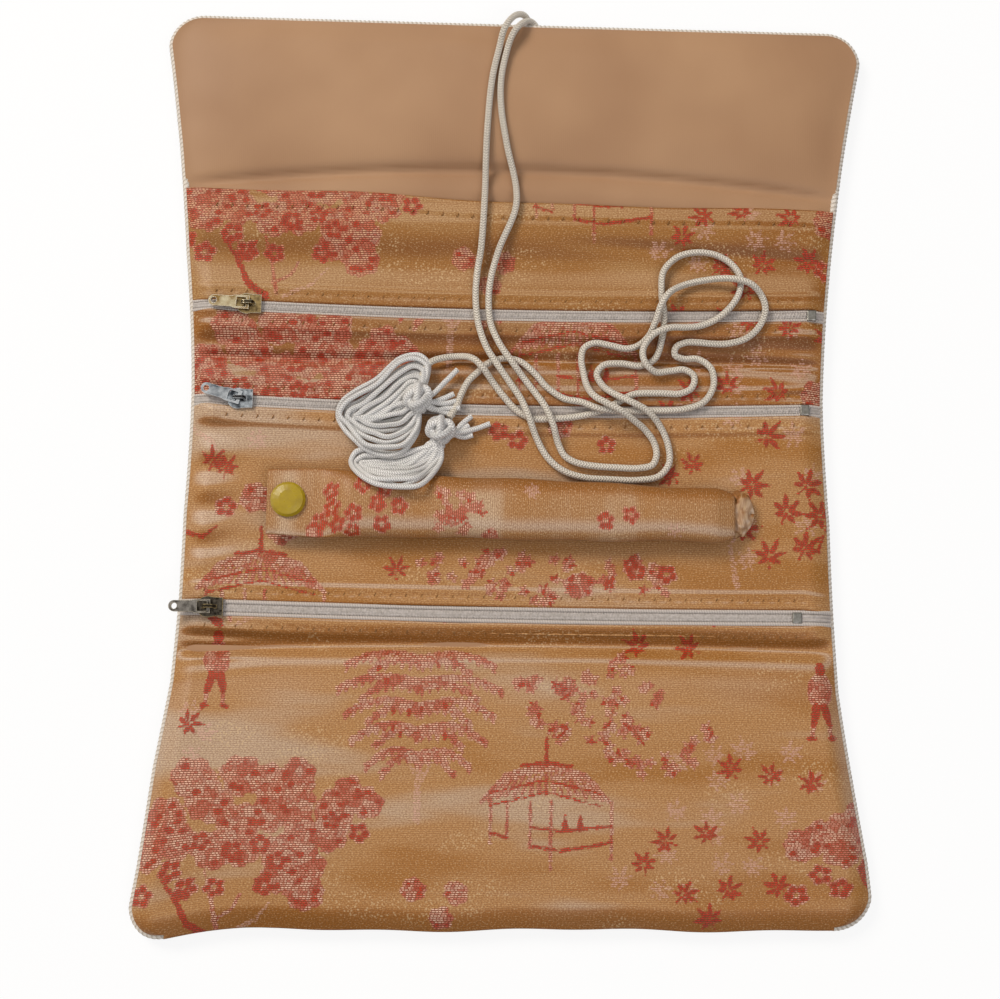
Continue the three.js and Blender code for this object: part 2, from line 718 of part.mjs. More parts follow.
const seamSlit = toSolid(
  polygonPrism(
    [
      [tabEnd + 16, BAR_Y - 0.4],
      [BAR_RIGHT - 20, BAR_Y - 0.4],
      [BAR_RIGHT - 20, BAR_Y + 0.4],
      [tabEnd + 16, BAR_Y + 0.4],
    ],
    BAR_Z - 1,
    BAR_Z + 1.3,
  ),
);
const snapHole = toSolid(
  lathed(
    [
      [0, TAB_Z - 1],
      [CAP_POST_D / 2 + CLEAR, TAB_Z - 1],
      [CAP_POST_D / 2 + CLEAR, CAP_Z],
      [0, CAP_Z],
    ],
    16,
  ),
).translate([SNAP_X, SNAP_Y, 0]);
place("ring_bar_cover", loft(barOuter, 20).subtract(hollow).subtract(seamSlit).subtract(snapHole), BROCADE);
place("ring_bar_filling", filling, WADDING);
place(
  "ring_bar_sewn_end",
  polygonPrism(
    [
      [BAR_RIGHT + 1.2, BAR_Y - BAR_HALF * 0.6],
      [BAR_RIGHT + 1.2 + STUB_LENGTH, BAR_Y - BAR_HALF * 0.7],
      [BAR_RIGHT + 1.2 + STUB_LENGTH, BAR_Y + BAR_HALF * 0.6],
      [BAR_RIGHT + 1.2, BAR_Y + BAR_HALF * 0.6],
    ],
    BAR_Z,
    BAR_Z + STUB_T,
  ),
  BROCADE,
);

// snap: domed cap and socket on the bar, stud through the panel
const capR = CAP_D / 2;
const cap = lathed(
  [
    [0, SOCKET_Z + SOCKET_T + CLEAR],
    [CAP_POST_D / 2, SOCKET_Z + SOCKET_T + CLEAR],
    [CAP_POST_D / 2, CAP_Z],
    [capR, CAP_Z],
    [capR, CAP_Z + CAP_T * 0.3],
    [capR * 0.86, CAP_Z + CAP_T * 0.72],
    [capR * 0.5, CAP_Z + CAP_T * 0.95],
    [0, CAP_Z + CAP_T],
  ],
  20,
);
place("snap_cap", cap.translate(SNAP_X, SNAP_Y, 0), ENAMEL);
const ballR = STUD_BALL_D / 2;
const socket = lathed(
  [
    [0, SOCKET_Z + SOCKET_T - 0.3],
    [ballR + CLEAR, SOCKET_Z + SOCKET_T - 0.3],
    [ballR + CLEAR, SOCKET_Z],
    [SOCKET_D / 2, SOCKET_Z],
    [SOCKET_D / 2, SOCKET_Z + SOCKET_T * 0.6],
    [SOCKET_D / 2 - 0.8, SOCKET_Z + SOCKET_T],
    [0, SOCKET_Z + SOCKET_T],
  ],
  20,
);
place("snap_socket", socket.translate(SNAP_X, SNAP_Y, 0), SNAP);
const stud = lathed(
  [
    [0, PANEL_Z - CLEAR - 0.4],
    [STUD_D / 2 - 0.6, PANEL_Z - CLEAR - 0.4],
    [STUD_D / 2 - 0.6, PANEL_Z - CLEAR],
    [CAP_POST_D - CLEAR, PANEL_Z - CLEAR],
    [CAP_POST_D - CLEAR, STUD_Z],
    [STUD_D / 2, STUD_Z],
    [STUD_D / 2, STUD_Z + STUD_BASE_T],
    [ballR * 0.8, STUD_Z + STUD_BASE_T],
    [ballR, STUD_Z + STUD_BASE_T + STUD_BALL_H * 0.55],
    [ballR * 0.6, STUD_Z + STUD_BASE_T + STUD_BALL_H],
    [0, STUD_Z + STUD_BASE_T + STUD_BALL_H],
  ],
  16,
);
place("snap_stud", stud.translate(SNAP_X, SNAP_Y, 0), SNAP);

// tie cord, two strands from the seam at the top edge. Each point is across, along, and how many
// cords it rides over; along is from the top edge in the first list, from the upper fold in the second.
const leftFromTop = [
  [2, 1.5, -2.35],
  [0.8, 2.5, -1.5],
  [-1.4, 1.2, -0.5],
  [-3, -2.6, -0.05],
  [-4.6, -8, 0],
  [-6.4, -18, 0],
  [-7.6, -34, 0],
  [-7.9, -52, 0],
];
const leftFromFold = [
  [-8.6, 31.4, 0],
  [-9.6, 23.9, 0],
  [-9.9, 16.9, 0],
  [-9.1, 9.4, 0.15],
  [-6.8, 2.2, 1],
  [-3.2, -3.6, 1.05],
  [0.4, -8.6, 0.7],
  [3.4, -13, 0.75],
  [5.6, -18, 1.05],
  [8, -24, 0.3],
  [11, -29, 0],
  [15.4, -32.6, 0],
  [21.2, -34.4, 0],
  [28.4, -34.8, 0],
  [36.8, -34.8, 0],
  [42.2, -33.6, 0],
  [45, -30, 0],
  [44.8, -25, 0],
  [42.6, -20, 0.3],
  [38.6, -15.8, 1.25],
  [33.2, -13.1, 1.5],
  [28.6, -10.6, 0.9],
  [26, -8, 0.05],
  [24.6, -5, 0],
  [26.4, -2.4, 0],
  [31.5, -1.6, 0],
  [37.2, -2.1, 0],
  [41, 0, 0],
  [42.8, 5.1, 0],
  [43.5, 11.5, 0],
  [42.7, 18.4, 0],
  [43.2, 25.1, 0],
  [47, 29.5, 0],
  [52.1, 31.1, 0],
  [57.8, 30.6, 0],
  [62.3, 28.1, 0],
  [64.9, 24, 0],
  [64.6, 19.4, 0],
  [62.3, 15.3, 0],
  [58.4, 11.7, 0],
  [53.9, 9.6, 0],
  [49.4, 8.8, 0.4],
  [44.6, 8.2, 1.1],
  [40.2, 6.2, 1.15],
  [37.4, 2, 1.05],
  [38, -1.8, 1.1],
  [41, -4.2, 0.5],
  [45.4, -3.6, 0],
  [49.2, -3.2, 0],
  [51.9, -5, 0],
  [51.4, -8.2, 0],
  [48.3, -10, 0],
  [41.6, -10.1, 0],
  [34.9, -10.6, 0],
  [31, -12.7, 0],
  [27.1, -14.9, 0],
  [22.6, -16.5, 0],
  [18.2, -17.4, 0],
  [12.6, -18, 0],
  [6.4, -18, 0],
  [2.2, -15.8, 0],
  [-1.4, -12, 0],
  [-4.6, -8, 0.2],
  [-7.4, -4.4, 1.05],
  [-10.2, -1.6, 0.95],
  [-13.5, -0.4, 0.3],
  [-18.5, -1, 0.3],
  [-22.5, -3, 0.4],
  [-24.6, -7.2, 0.7],
];
const rightFromTop = [
  [5.6, 1.5, -2.35],
  [4.6, 2.5, -1.5],
  [2.6, 1.2, -0.5],
  [0.8, -2.6, -0.05],
  [-1.2, -8, 0],
  [-2.8, -18, 0],
  [-3, -26, 0],
  [-1.8, -37, 0],
  [1, -48.4, 0],
  [0.9, -55.6, 0],
];
const rightFromFold = [
  [-3.6, 30.5, 0],
  [-5.6, 22.8, 0],
  [-6.2, 16.4, 0],
  [-5.6, 9.4, 0.1],
  [-3.2, 3.3, 0.9],
  [0.5, -2.2, 1.1],
  [4, -6.7, 0.4],
  [7.2, -10.8, 0.4],
  [10, -14.8, 0.95],
  [12.4, -20, 0.95],
  [14, -25.1, 0.1],
  [15.8, -28.4, 0],
  [18.9, -30.2, 0],
  [23.9, -31.1, 0],
  [30.1, -31.4, 0],
  [36.8, -31.4, 0],
  [40.4, -30.4, 0],
  [41.5, -27.8, 0],
  [40.9, -24.4, 0],
  [38.4, -21, 0.4],
  [35, -18.6, 1.2],
  [31, -16.2, 2.05],
  [27.1, -14.2, 2.05],
  [23.8, -12.2, 1.75],
  [21.8, -8.8, 0.6],
  [20.8, -4.6, 0.05],
  [20.2, -0.5, 0],
  [21, 2.7, 0],
  [23.8, 4.2, 0],
  [28, 3.7, 0],
  [33.1, 2.8, 0],
  [36.5, 3.8, 0],
  [39.3, 6.6, 0],
  [41, 10.6, 0.6],
  [42.3, 14.6, 1.1],
  [44.5, 18.1, 1.05],
  [48.5, 20.9, 0.2],
  [54.4, 22.6, 0.2],
  [61.8, 22.9, 1.05],
  [67.4, 21.4, 1.05],
  [70.9, 18.3, 0.1],
  [71.9, 14.3, 0],
  [70.2, 9.6, 0],
  [66.5, 6.1, 0],
  [61.2, 4.6, 0],
  [56.7, 4.6, 0],
  [53, 4.9, 0],
  [49.7, 4.8, 0],
  [46.9, 3.4, 0],
  [46.7, 1.2, 0],
  [48.9, 0.3, 0],
  [53.3, 0.2, 0],
  [56.8, -2.8, 0],
  [57.4, -7.6, 0],
  [54.8, -12.2, 0],
  [49.5, -14.4, 0],
  [39.4, -15.2, 0],
  [31.6, -15.8, 0.8],
  [24.9, -15.2, 1.05],
  [20.4, -13.4, 0.6],
  [15.3, -12.1, 0],
  [10.6, -9, 0],
  [7, -5, 0],
  [2.8, -1.6, 0],
  [-1.8, -0.8, 0],
  [-6, -2.4, 0],
  [-8.9, -5.1, 0],
  [-11.4, -7.6, 0],
  [-13.2, -11, 0],
  [-14.6, -14.8, 0.2],
  [-16.6, -18.7, 0.7],
];
const BAR_EDGE = BAR_Y + BAR_WIDTH / 2;
function strandCurve(fromTop, fromFold) {
  const lowest = BAR_EDGE + CLEAR + TIE_D / 2;
  const points = [];
  for (const [x, along, over] of fromTop) {
    points.push(new THREE.Vector3(x, TOP + along, TIE_Z + over * TIE_RISE));
  }
  for (const [x, along, over] of fromFold) {
    points.push(new THREE.Vector3(x, Math.max(lowest, UPPER_FOLD + along), TIE_Z + over * TIE_RISE));
  }
  return new THREE.CatmullRomCurve3(points);
}
// least gap between two runs of cord, or of one run to itself, measured on points along the middle
function leastGap(first, second, diameter, same) {
  const a = first.getSpacedPoints(500);
  const b = second.getSpacedPoints(500);
  const skip = Math.ceil((diameter * 3 * 500) / first.getLength());
  let least = Infinity;
  for (let i = 0; i < a.length; i += 1) {
    for (let j = same ? i + skip : 0; j < b.length; j += 1) {
      least = Math.min(least, a[i].distanceTo(b[j]) - diameter);
    }
  }
  return least;
}
const leftStrand = strandCurve(leftFromTop, leftFromFold);
const rightStrand = strandCurve(rightFromTop, rightFromFold);
const STRAND_STEPS = 116;
place("tie_cord_left", tube(leftStrand, TIE_D, 8, STRAND_STEPS), TIE);
place("tie_cord_right", tube(rightStrand, TIE_D, 8, STRAND_STEPS), TIE);

// tassels: a button knot and a hank of loops, wound inward and outward by turns, one layer on the next
function hank(centre, across, along, loops, layers, tilt, lift) {
  const points = [];
  const perLoop = 16;
  const total = loops * perLoop;
  for (let k = 0; k <= total * layers; k += 1) {
    const within = k % (total * 2);
    const inward = within <= total ? within : total * 2 - within;
    const drawn = (LOOP_PITCH * inward) / perLoop;
    const turn = (k / perLoop) * Math.PI * 2 + Math.PI / 2;
    let raised = 0;
    for (let n = 1; n < layers; n += 1) {
      raised += Math.min(1, Math.max(0, (k - total * n + perLoop * 0.35) / (perLoop * 0.7)));
    }
    const x = (across - drawn) * Math.cos(turn);
    const y = (along - drawn) * Math.sin(turn);
    const z = lift + (along - y) * Math.tan(tilt) + (raised * LOOP_RISE) / Math.cos(tilt);
    points.push(new THREE.Vector3(centre[0] + x, centre[1] + y, z));
  }
  return new THREE.CatmullRomCurve3(points);
}
const hankLift = SURFACE + CLEAR + LOOP_D / 2;
const knotZ = SURFACE + CLEAR + KNOT_D / 2;
const panelLift = PANEL_TOP + CLEAR + LOOP_D / 2;
const barRise = BAR_TOP + CLEAR * 2 + LOOP_D / 2 - panelLift;
const lowTassel = 7.6;
const firstHank = hank([-41, UPPER_FOLD - 11], 9.5, 10.5, 3, 3, 0, hankLift);
const lean = Math.atan(barRise / (lowTassel * 2));
const secondHank = hank([-34.5, UPPER_FOLD - 31.4], 11, lowTassel, 2, 3, lean, panelLift);
for (const [name, curve, x, y] of [
  ["tassel1", firstHank, -26.6, UPPER_FOLD - 11],
  ["tassel2", secondHank, -19, UPPER_FOLD - 22.3],
]) {
  place(name + "_loops", tube(curve, LOOP_D, 6, Math.round(curve.getLength() / 3)), TIE);
  const knot = new THREE.SphereGeometry(KNOT_D / 2, 12, 8);
  place(name + "_knot", knot.translate(x, y, knotZ), TIE);
  console.log(name, "least gap", leastGap(curve, curve, LOOP_D, true).toFixed(2));
}
console.log("left strand least gap", leastGap(leftStrand, leftStrand, TIE_D, true).toFixed(2));
console.log("right strand least gap", leastGap(rightStrand, rightStrand, TIE_D, true).toFixed(2));
console.log("strands to each other", leastGap(leftStrand, rightStrand, TIE_D, false).toFixed(2));
console.log("strand lengths", leftStrand.getLength().toFixed(0), rightStrand.getLength().toFixed(0));

export default roll;
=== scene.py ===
import math
from functools import partial
import bpy
import numpy as np
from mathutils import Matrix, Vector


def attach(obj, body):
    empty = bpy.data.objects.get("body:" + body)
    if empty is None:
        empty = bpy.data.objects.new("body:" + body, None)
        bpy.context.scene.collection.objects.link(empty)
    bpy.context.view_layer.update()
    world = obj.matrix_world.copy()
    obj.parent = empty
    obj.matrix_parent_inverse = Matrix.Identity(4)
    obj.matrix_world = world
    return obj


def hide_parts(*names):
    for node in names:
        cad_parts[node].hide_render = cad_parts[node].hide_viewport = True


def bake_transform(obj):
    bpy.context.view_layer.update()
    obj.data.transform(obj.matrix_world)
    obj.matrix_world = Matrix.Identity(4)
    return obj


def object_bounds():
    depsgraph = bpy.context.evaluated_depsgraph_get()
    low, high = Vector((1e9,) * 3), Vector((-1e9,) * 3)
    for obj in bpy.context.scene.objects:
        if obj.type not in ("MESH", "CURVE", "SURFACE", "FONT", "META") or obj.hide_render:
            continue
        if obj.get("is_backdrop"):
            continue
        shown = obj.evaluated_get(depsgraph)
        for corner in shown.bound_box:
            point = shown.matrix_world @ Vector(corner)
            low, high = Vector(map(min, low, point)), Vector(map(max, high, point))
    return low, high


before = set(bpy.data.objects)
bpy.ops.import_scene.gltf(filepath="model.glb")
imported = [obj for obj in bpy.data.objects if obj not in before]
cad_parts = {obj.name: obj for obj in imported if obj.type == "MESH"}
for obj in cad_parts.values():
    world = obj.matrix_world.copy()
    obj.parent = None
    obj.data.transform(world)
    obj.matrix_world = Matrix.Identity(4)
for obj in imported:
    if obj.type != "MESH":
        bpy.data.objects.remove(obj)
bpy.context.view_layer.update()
scene = bpy.context.scene
mm = 0.001
turnFull = 2 * math.pi
print("frame loaded:", len(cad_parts), "solids")

# camera, read from the photograph's outline; the picture is 1000 by 999
eye = {"place": (-5.0, -85.7, 519.4), "turnDeg": (8.40, -0.49, 1.03), "lens": 66.87}
lens = bpy.data.cameras.new("camera")
lens.lens = eye["lens"]
lens.sensor_width = 36
lens.clip_start, lens.clip_end = 0.01, 20
camera = bpy.data.objects.new("camera", lens)
camera.location = [c * mm for c in eye["place"]]
camera.rotation_euler = [math.radians(a) for a in eye["turnDeg"]]
scene.collection.objects.link(camera)
scene.camera = camera
scene.view_settings.view_transform = "Standard"


def hexColour(text):
    shares = [int(text[k:k + 2], 16) / 255 for k in (0, 2, 4)]
    return tuple(c / 12.92 if c <= 0.04045 else ((c + 0.055) / 1.055) ** 2.4 for c in shares) + (1.0,)


def addNode(tree, kind, settings=None, links=None, out=0):
    node = tree.nodes.new(kind)
    for name, value in (settings or {}).items():
        setattr(node, name, value)
    for key, value in (links or {}).items():
        if isinstance(value, bpy.types.NodeSocket):
            tree.links.new(value, node.inputs[key])
        else:
            node.inputs[key].default_value = value
    return node.outputs[out] if len(node.outputs) else node


def newMaterial(name):
    made = bpy.data.materials.new(name)
    made.use_nodes = True
    made.node_tree.nodes.clear()
    return made, made.node_tree


def finishMaterial(tree, surface):
    addNode(tree, "ShaderNodeOutputMaterial", links={"Surface": surface})


def addMath(tree, operation, a, b=0.0, c=0.0):
    return addNode(tree, "ShaderNodeMath", {"operation": operation}, {0: a, 1: b, 2: c})


def addRamp(tree, value, low, high, start=0.0, end=1.0, kind="SMOOTHSTEP"):
    return addNode(tree, "ShaderNodeMapRange", {"interpolation_type": kind},
                   {0: value, 1: low, 2: high, 3: start, 4: end})


def addMix(tree, share, a, b):
    a, b = [hexColour(c) if isinstance(c, str) else c for c in (a, b)]
    return addNode(tree, "ShaderNodeMix", {"data_type": "RGBA"}, {0: share, 6: a, 7: b}, out=2)


def nodeMakers(tree):
    return [partial(make, tree) for make in (addMath, addRamp, addMix)]


def smoothStep(low, high, value):
    t = np.clip((value - low) / (high - low), 0, 1)
    return t * t * (3 - 2 * t)


def ripple(x, y, seed, length, height, lean=None, spread=0.3):
    # low wandering ripples, from a few seeded waves
    draw = np.random.default_rng(seed)
    total = np.zeros(np.broadcast(x, y).shape)
    for _ in range(7):
        turn = draw.uniform(0, math.pi) if lean is None else lean + draw.normal(0, spread)
        wave = length * draw.uniform(0.7, 1.7)
        total = total + np.sin((x * math.cos(turn) + y * math.sin(turn)) * turnFull / wave + draw.uniform(0, 6.28))
    return total * height / 2.6


def makePiece(name, points, faces, *materials):
    mesh = bpy.data.meshes.new(name)
    mesh.from_pydata((np.asarray(points, float) * mm).tolist(), [], faces)
    mesh.polygons.foreach_set("use_smooth", [True] * len(mesh.polygons))
    mesh.set_sharp_from_angle(angle=math.radians(80))    # ends and cuts stay crisp
    for material in materials:
        mesh.materials.append(material)
    piece = bpy.data.objects.new(name, mesh)
    scene.collection.objects.link(piece)
    return piece


def setAttribute(piece, name, kind, values):
    field = {"FLOAT": "value", "FLOAT_VECTOR": "vector", "FLOAT_COLOR": "color"}[kind]
    attribute = piece.data.attributes.new(name, kind, "POINT")
    attribute.data.foreach_set(field, np.ascontiguousarray(values, np.float32).ravel())


def gridFaces(rows, columns, first=0, flip=False, closed=False):
    faces = []
    for i in range(rows - 1):
        for j in range(columns if closed else columns - 1):
            k = (j + 1) % columns
            a, b = first + i * columns, first + (i + 1) * columns
            quad = [a + j, a + k, b + k, b + j]
            faces.append(quad[::-1] if flip else quad)
    return faces


def smoothPath(points, step):
    # a smooth run through the points, cut into even steps
    p = np.asarray(points, float)
    p = np.vstack([2 * p[0] - p[1], p, 2 * p[-1] - p[-2]])
    runs = []
    for k in range(1, len(p) - 2):
        a, b, c, d = p[k - 1:k + 3]
        ta = 0.0
        tb = ta + max(1e-4, np.linalg.norm(b - a)) ** 0.5
        tc = tb + max(1e-4, np.linalg.norm(c - b)) ** 0.5
        td = tc + max(1e-4, np.linalg.norm(d - c)) ** 0.5
        t = np.linspace(tb, tc, 30, endpoint=False)[:, None]
        ab = a + (b - a) * (t - ta) / (tb - ta)
        bc = b + (c - b) * (t - tb) / (tc - tb)
        cd = c + (d - c) * (t - tc) / (td - tc)
        abc = ab + (bc - ab) * (t - ta) / (tc - ta)
        bcd = bc + (cd - bc) * (t - tb) / (td - tb)
        runs.append(abc + (bcd - abc) * (t - tb) / (tc - tb))
    line = np.vstack(runs + [p[-2:-1]])
    return evenSteps(line, step)


def evenSteps(line, step):
    along = np.concatenate([[0], np.cumsum(np.linalg.norm(np.diff(line, axis=0), axis=1))])
    at = np.linspace(0, along[-1], max(2, int(math.ceil(along[-1] / step)) + 1))
    return np.stack([np.interp(at, along, line[:, k]) for k in range(3)], axis=1)


def pathLength(line):
    return float(np.linalg.norm(np.diff(line, axis=0), axis=1).sum())


def tubePoints(line, sides, radiusAt):
    # rings along a line that turn as little as they can; radiusAt(along, around) in millimetres
    tangent = np.gradient(line, axis=0)
    tangent /= np.linalg.norm(tangent, axis=1)[:, None]
    side = np.cross(tangent[0], (0, 0, 1))
    side = side / np.linalg.norm(side) if np.linalg.norm(side) > 1e-6 else np.array((1.0, 0, 0))
    sideways = np.zeros_like(line)
    for k, t in enumerate(tangent):
        side = side - t * (side @ t)
        side = side / np.linalg.norm(side)
        sideways[k] = side
    upward = np.cross(sideways, tangent)
    along = np.concatenate([[0], np.cumsum(np.linalg.norm(np.diff(line, axis=0), axis=1))])
    around = np.arange(sides) / sides
    radius = radiusAt(along[:, None], around[None, :])
    turn = around * turnFull
    spread = np.cos(turn)[None, :, None] * sideways[:, None] + np.sin(turn)[None, :, None] * upward[:, None]
    points = line[:, None] + spread * np.broadcast_to(radius, (len(line), sides))[:, :, None]
    lay = np.stack(np.broadcast_arrays(along[:, None], around[None, :], 0.0), axis=2)
    return points.reshape(-1, 3), lay.reshape(-1, 3)


def tubeFaces(rings, sides, first=0):
    ends = [list(range(first, first + sides)), list(range(first + (rings - 1) * sides, first + rings * sides))[::-1]]
    return gridFaces(rings, sides, first, flip=True, closed=True) + ends


# the open roll's outline, in millimetres
roll = {"top": 129.0, "foot": -129.0, "endHalf": 100.0, "waistHalf": 88.75, "waistY": 15.0, "power": 1.7,
        "corner": 9.0, "flapFold": 85.0, "upperFold": 31.0, "lowerFold": -51.5, "foldReach": 9.0}


def sideAt(y, inset=0.0):
    # half the width at a place along the roll, round the corners too
    y = np.asarray(y, float)
    reach = np.where(y > roll["waistY"], roll["top"] - roll["waistY"], roll["waistY"] - roll["foot"])
    share = np.clip(np.abs(y - roll["waistY"]) / (reach - roll["corner"]), 0, 1)
    half = roll["waistHalf"] + (roll["endHalf"] - roll["waistHalf"]) * share ** roll["power"]
    into = np.maximum(y - (roll["top"] - inset - roll["corner"]), roll["foot"] + inset + roll["corner"] - y)
    into = np.clip(into, 0, roll["corner"])
    return half - inset - roll["corner"] + np.sqrt(roll["corner"] ** 2 - into ** 2)


# how the soft roll lies on the table: its sides wander out and its corners drop a little, in millimetres
lie = {"y": (-129, -110, -85, -62, -40, -15, 20, 60, 90, 129),
       "left": (1.2, 0.7, 0.6, -0.9, -0.3, 1.3, 1.5, 1.9, 1.0, 0.6),
       "right": (1.2, 1.8, 0.9, -0.2, 0.5, 1.5, 0.4, 0.3, 0.3, 0.8), "half": 95, "endFrom": 70, "endTo": 129}


def settle(points):
    p = np.array(points, float)
    x, y = p[..., 0].copy(), p[..., 1].copy()
    near = np.clip(np.abs(x) / lie["half"], 0, 1) ** 4
    out = [np.interp(y, lie["y"], lie[word]) for word in ("left", "right")]
    p[..., 0] += near * np.where(x < 0, -out[0], out[1])
    p[..., 1] += smoothStep(lie["endFrom"], lie["endTo"], y) * (1.8 - 0.009 * x)
    leftCorner = 3.4 * np.exp(-((x + 98) / 13) ** 2)
    p[..., 1] += smoothStep(-lie["endFrom"], -lie["endTo"], y) * (1.2 + 0.016 * x - leftCorner)
    return p


def edgeDistance(x, y, inset):
    ends = np.minimum(roll["top"] - inset - y, y - roll["foot"] - inset)
    return np.minimum(sideAt(y, inset) - np.abs(x), ends)


# zips: place along the roll, how far the chain bows down in the middle, slider and stop, the chain's half width
zips = {
    "zip1": {"y": 44.4, "bow": 1.6, "slider": -74.04, "stop": 84.04, "half": 1.75, "body": "upper"},
    "zip2": {"y": 17.1, "bow": 1.8, "slider": -75.46, "stop": 81.96, "half": 1.75, "body": "middle"},
    "zip3": {"y": -41.5, "bow": 0.7, "slider": -81.51, "stop": 79.51, "half": 2.35, "body": "middle"},
}


bowHalf = 84.0


def chainY(name, x):
    return zips[name]["y"] - zips[name]["bow"] * np.clip(1 - (x / bowHalf) ** 2, 0, 1)


def one(u, v, size):
    # a group of a single figure
    return (u, v), (1, 1), 1, (size, size), 1.0


# figures of the brocade, in millimetres on the cloth: common garden motifs, scattered in groups that lie about where
# the photo has such groups; a group is (centre, reach, count, smallest and largest size, space between)
garden = {
    "repeat": (187.0, 84.0),
    "blossoms": [((-68, -9), (25, 13), 17, (4.4, 5.8), 7.0), ((-42, -7), (8, 4), 3, (4.2, 5.0), 6.0),
                 ((86, -15), (8, 5), 4, (4.2, 5.4), 6.0), ((-54, -26), (8, 5), 3, (4.4, 5.4), 7.0),
                 ((-18, -34), (9, 6), 3, (3.0, 3.6), 7.0)],
    "florets": [((-74, -23), (15, 8), 8, (3.0, 3.5), 6.0), ((-40, -12), (8, 4), 2, (3.0, 3.3), 6.0),
                ((84, -29), (7, 5), 3, (3.2, 3.4), 6.0)],
    "branches": [("red", [(-79, -42), (-84, -38), (-87, -31), (-91, -25)], 2.4, 0.9),
                 ("red", [(-87, -32), (-82, -26)], 1.3, 0.7), ("pink", [(-76, -41), (-78, -30), (-80, -23)], 1.3, 0.7),
                 ("pink", [(-77, -38), (-72, -35), (-70, -31)], 1.2, 0.7),
                 ("pale", [(-74, -42), (-66, -38), (-62, -33)], 1.2, 0.7),
                 ("pale", [(-23, -11), (-23, -1), (-22, 8)], 2.0, 1.2), ("pale", [(-23, -2), (-19, 6)], 1.3, 0.8),
                 ("pale", [(-23, 1), (-27, 7)], 1.2, 0.8)],
    "sprays": [((24, 22), (22, 10), 12, (3.0, 4.2), 7.0), ((42, 11), (14, 9), 6, (2.6, 3.4), 6.0)],
    "mapleRed": [((72, 1), (12, 7), 3, (4.2, 4.8), 9.0), ((58, -24), (20, 14), 8, (4.4, 5.0), 9.0),
                 ((48, 38), (11, 1), 2, (4.6, 4.8), 12.0), one(-87, 14, 4.6)],
    "maplePale": [((64, -2), (22, 15), 11, (4.0, 4.6), 7.0), ((52, -26), (20, 13), 7, (3.8, 4.6), 7.0),
                  ((-85, 12), (4, 8), 3, (3.6, 4.2), 6.0)],
    "pavilions": [(18, -6)], "willows": [-23], "people": [(-79.5, 29), (87, 23)],
}
grove = {
    "repeat": (187.0, 84.0),
    "blossoms": [((-65, -13), (9, 7), 3, (4.4, 4.8), 8.0), one(14, 11, 3.6), ((22, -35), (2, 2), 1, (3.8, 3.8), 1.0)],
    "florets": [((1, 7), (5, 4), 2, (3.0, 3.2), 5.5), ((27, 6), (2, 1), 1, (2.8, 2.8), 1.0),
                ((40, -30), (14, 5), 2, (3.0, 3.2), 8.0), one(-78, -14, 3.2)],
    "branches": [("red", [(80, -20), (86, -23), (89, -15)], 1.2, 0.7),
                 ("pale", [(64, -33), (62, -22), (66, -12)], 1.6, 0.8),
                 ("red", [(-90, -20), (-84, -22), (-80, -19)], 1.4, 0.8),
                 ("pale", [(-88, 9), (-82, 5), (-80, 1)], 1.2, 0.7)],
    "sprays": [((10, -31), (32, 6), 11, (3.2, 4.2), 7.0)],
    "mapleRed": [((73, -8), (15, 20), 8, (5.2, 5.6), 9.0), ((47, 0), (8, 3), 2, (4.2, 4.4), 7.0),
                 ((-80, -1), (3, 3), 2, (4.0, 5.2), 4.0), one(-30, -31, 4.4)],
    "maplePale": [((70, -5), (18, 22), 7, (4.0, 4.6), 9.0), one(-70, 5, 4.0)],
    "pavilions": [(-62, -37)], "willows": [], "people": [],
}
barRun = {
    "repeat": (187.0, 168.0), "blossoms": [one(6, -54, 2.6), one(7, -4, 2.6)],
    "florets": [((0, -41), (8, 13), 11, (2.6, 2.9), 4.6), ((1, 31), (3, 6), 2, (2.6, 2.8), 7.0)],
    "branches": [], "sprays": [((1, -14), (5, 8), 4, (3.0, 3.6), 5.0)],
    "mapleRed": [], "maplePale": [one(-5, 6, 3.2), one(4, 46, 3.0)],
    "pavilions": [], "willows": [], "people": [],
}
tries = 60


def scatter(draw, groups):
    # places in each group's oval, kept apart, with a size each
    places = []
    for (cu, cv), (wide, tall), count, sizes, apart in groups:
        group = []
        for _ in range(count * tries):
            out, turn = math.sqrt(draw.random()), draw.uniform(0, turnFull)
            u, v = cu + wide * out * math.cos(turn), cv + tall * out * math.sin(turn)
            if len(group) < count and all(math.hypot(u - p[0], v - p[1]) > apart for p in group):
                group.append((u, v, draw.uniform(*sizes)))
        places += group
    return places


def fold(value, period):
    return (value + period / 2) % period - period / 2


threadColours = ("red", "pink", "pale", "gold")


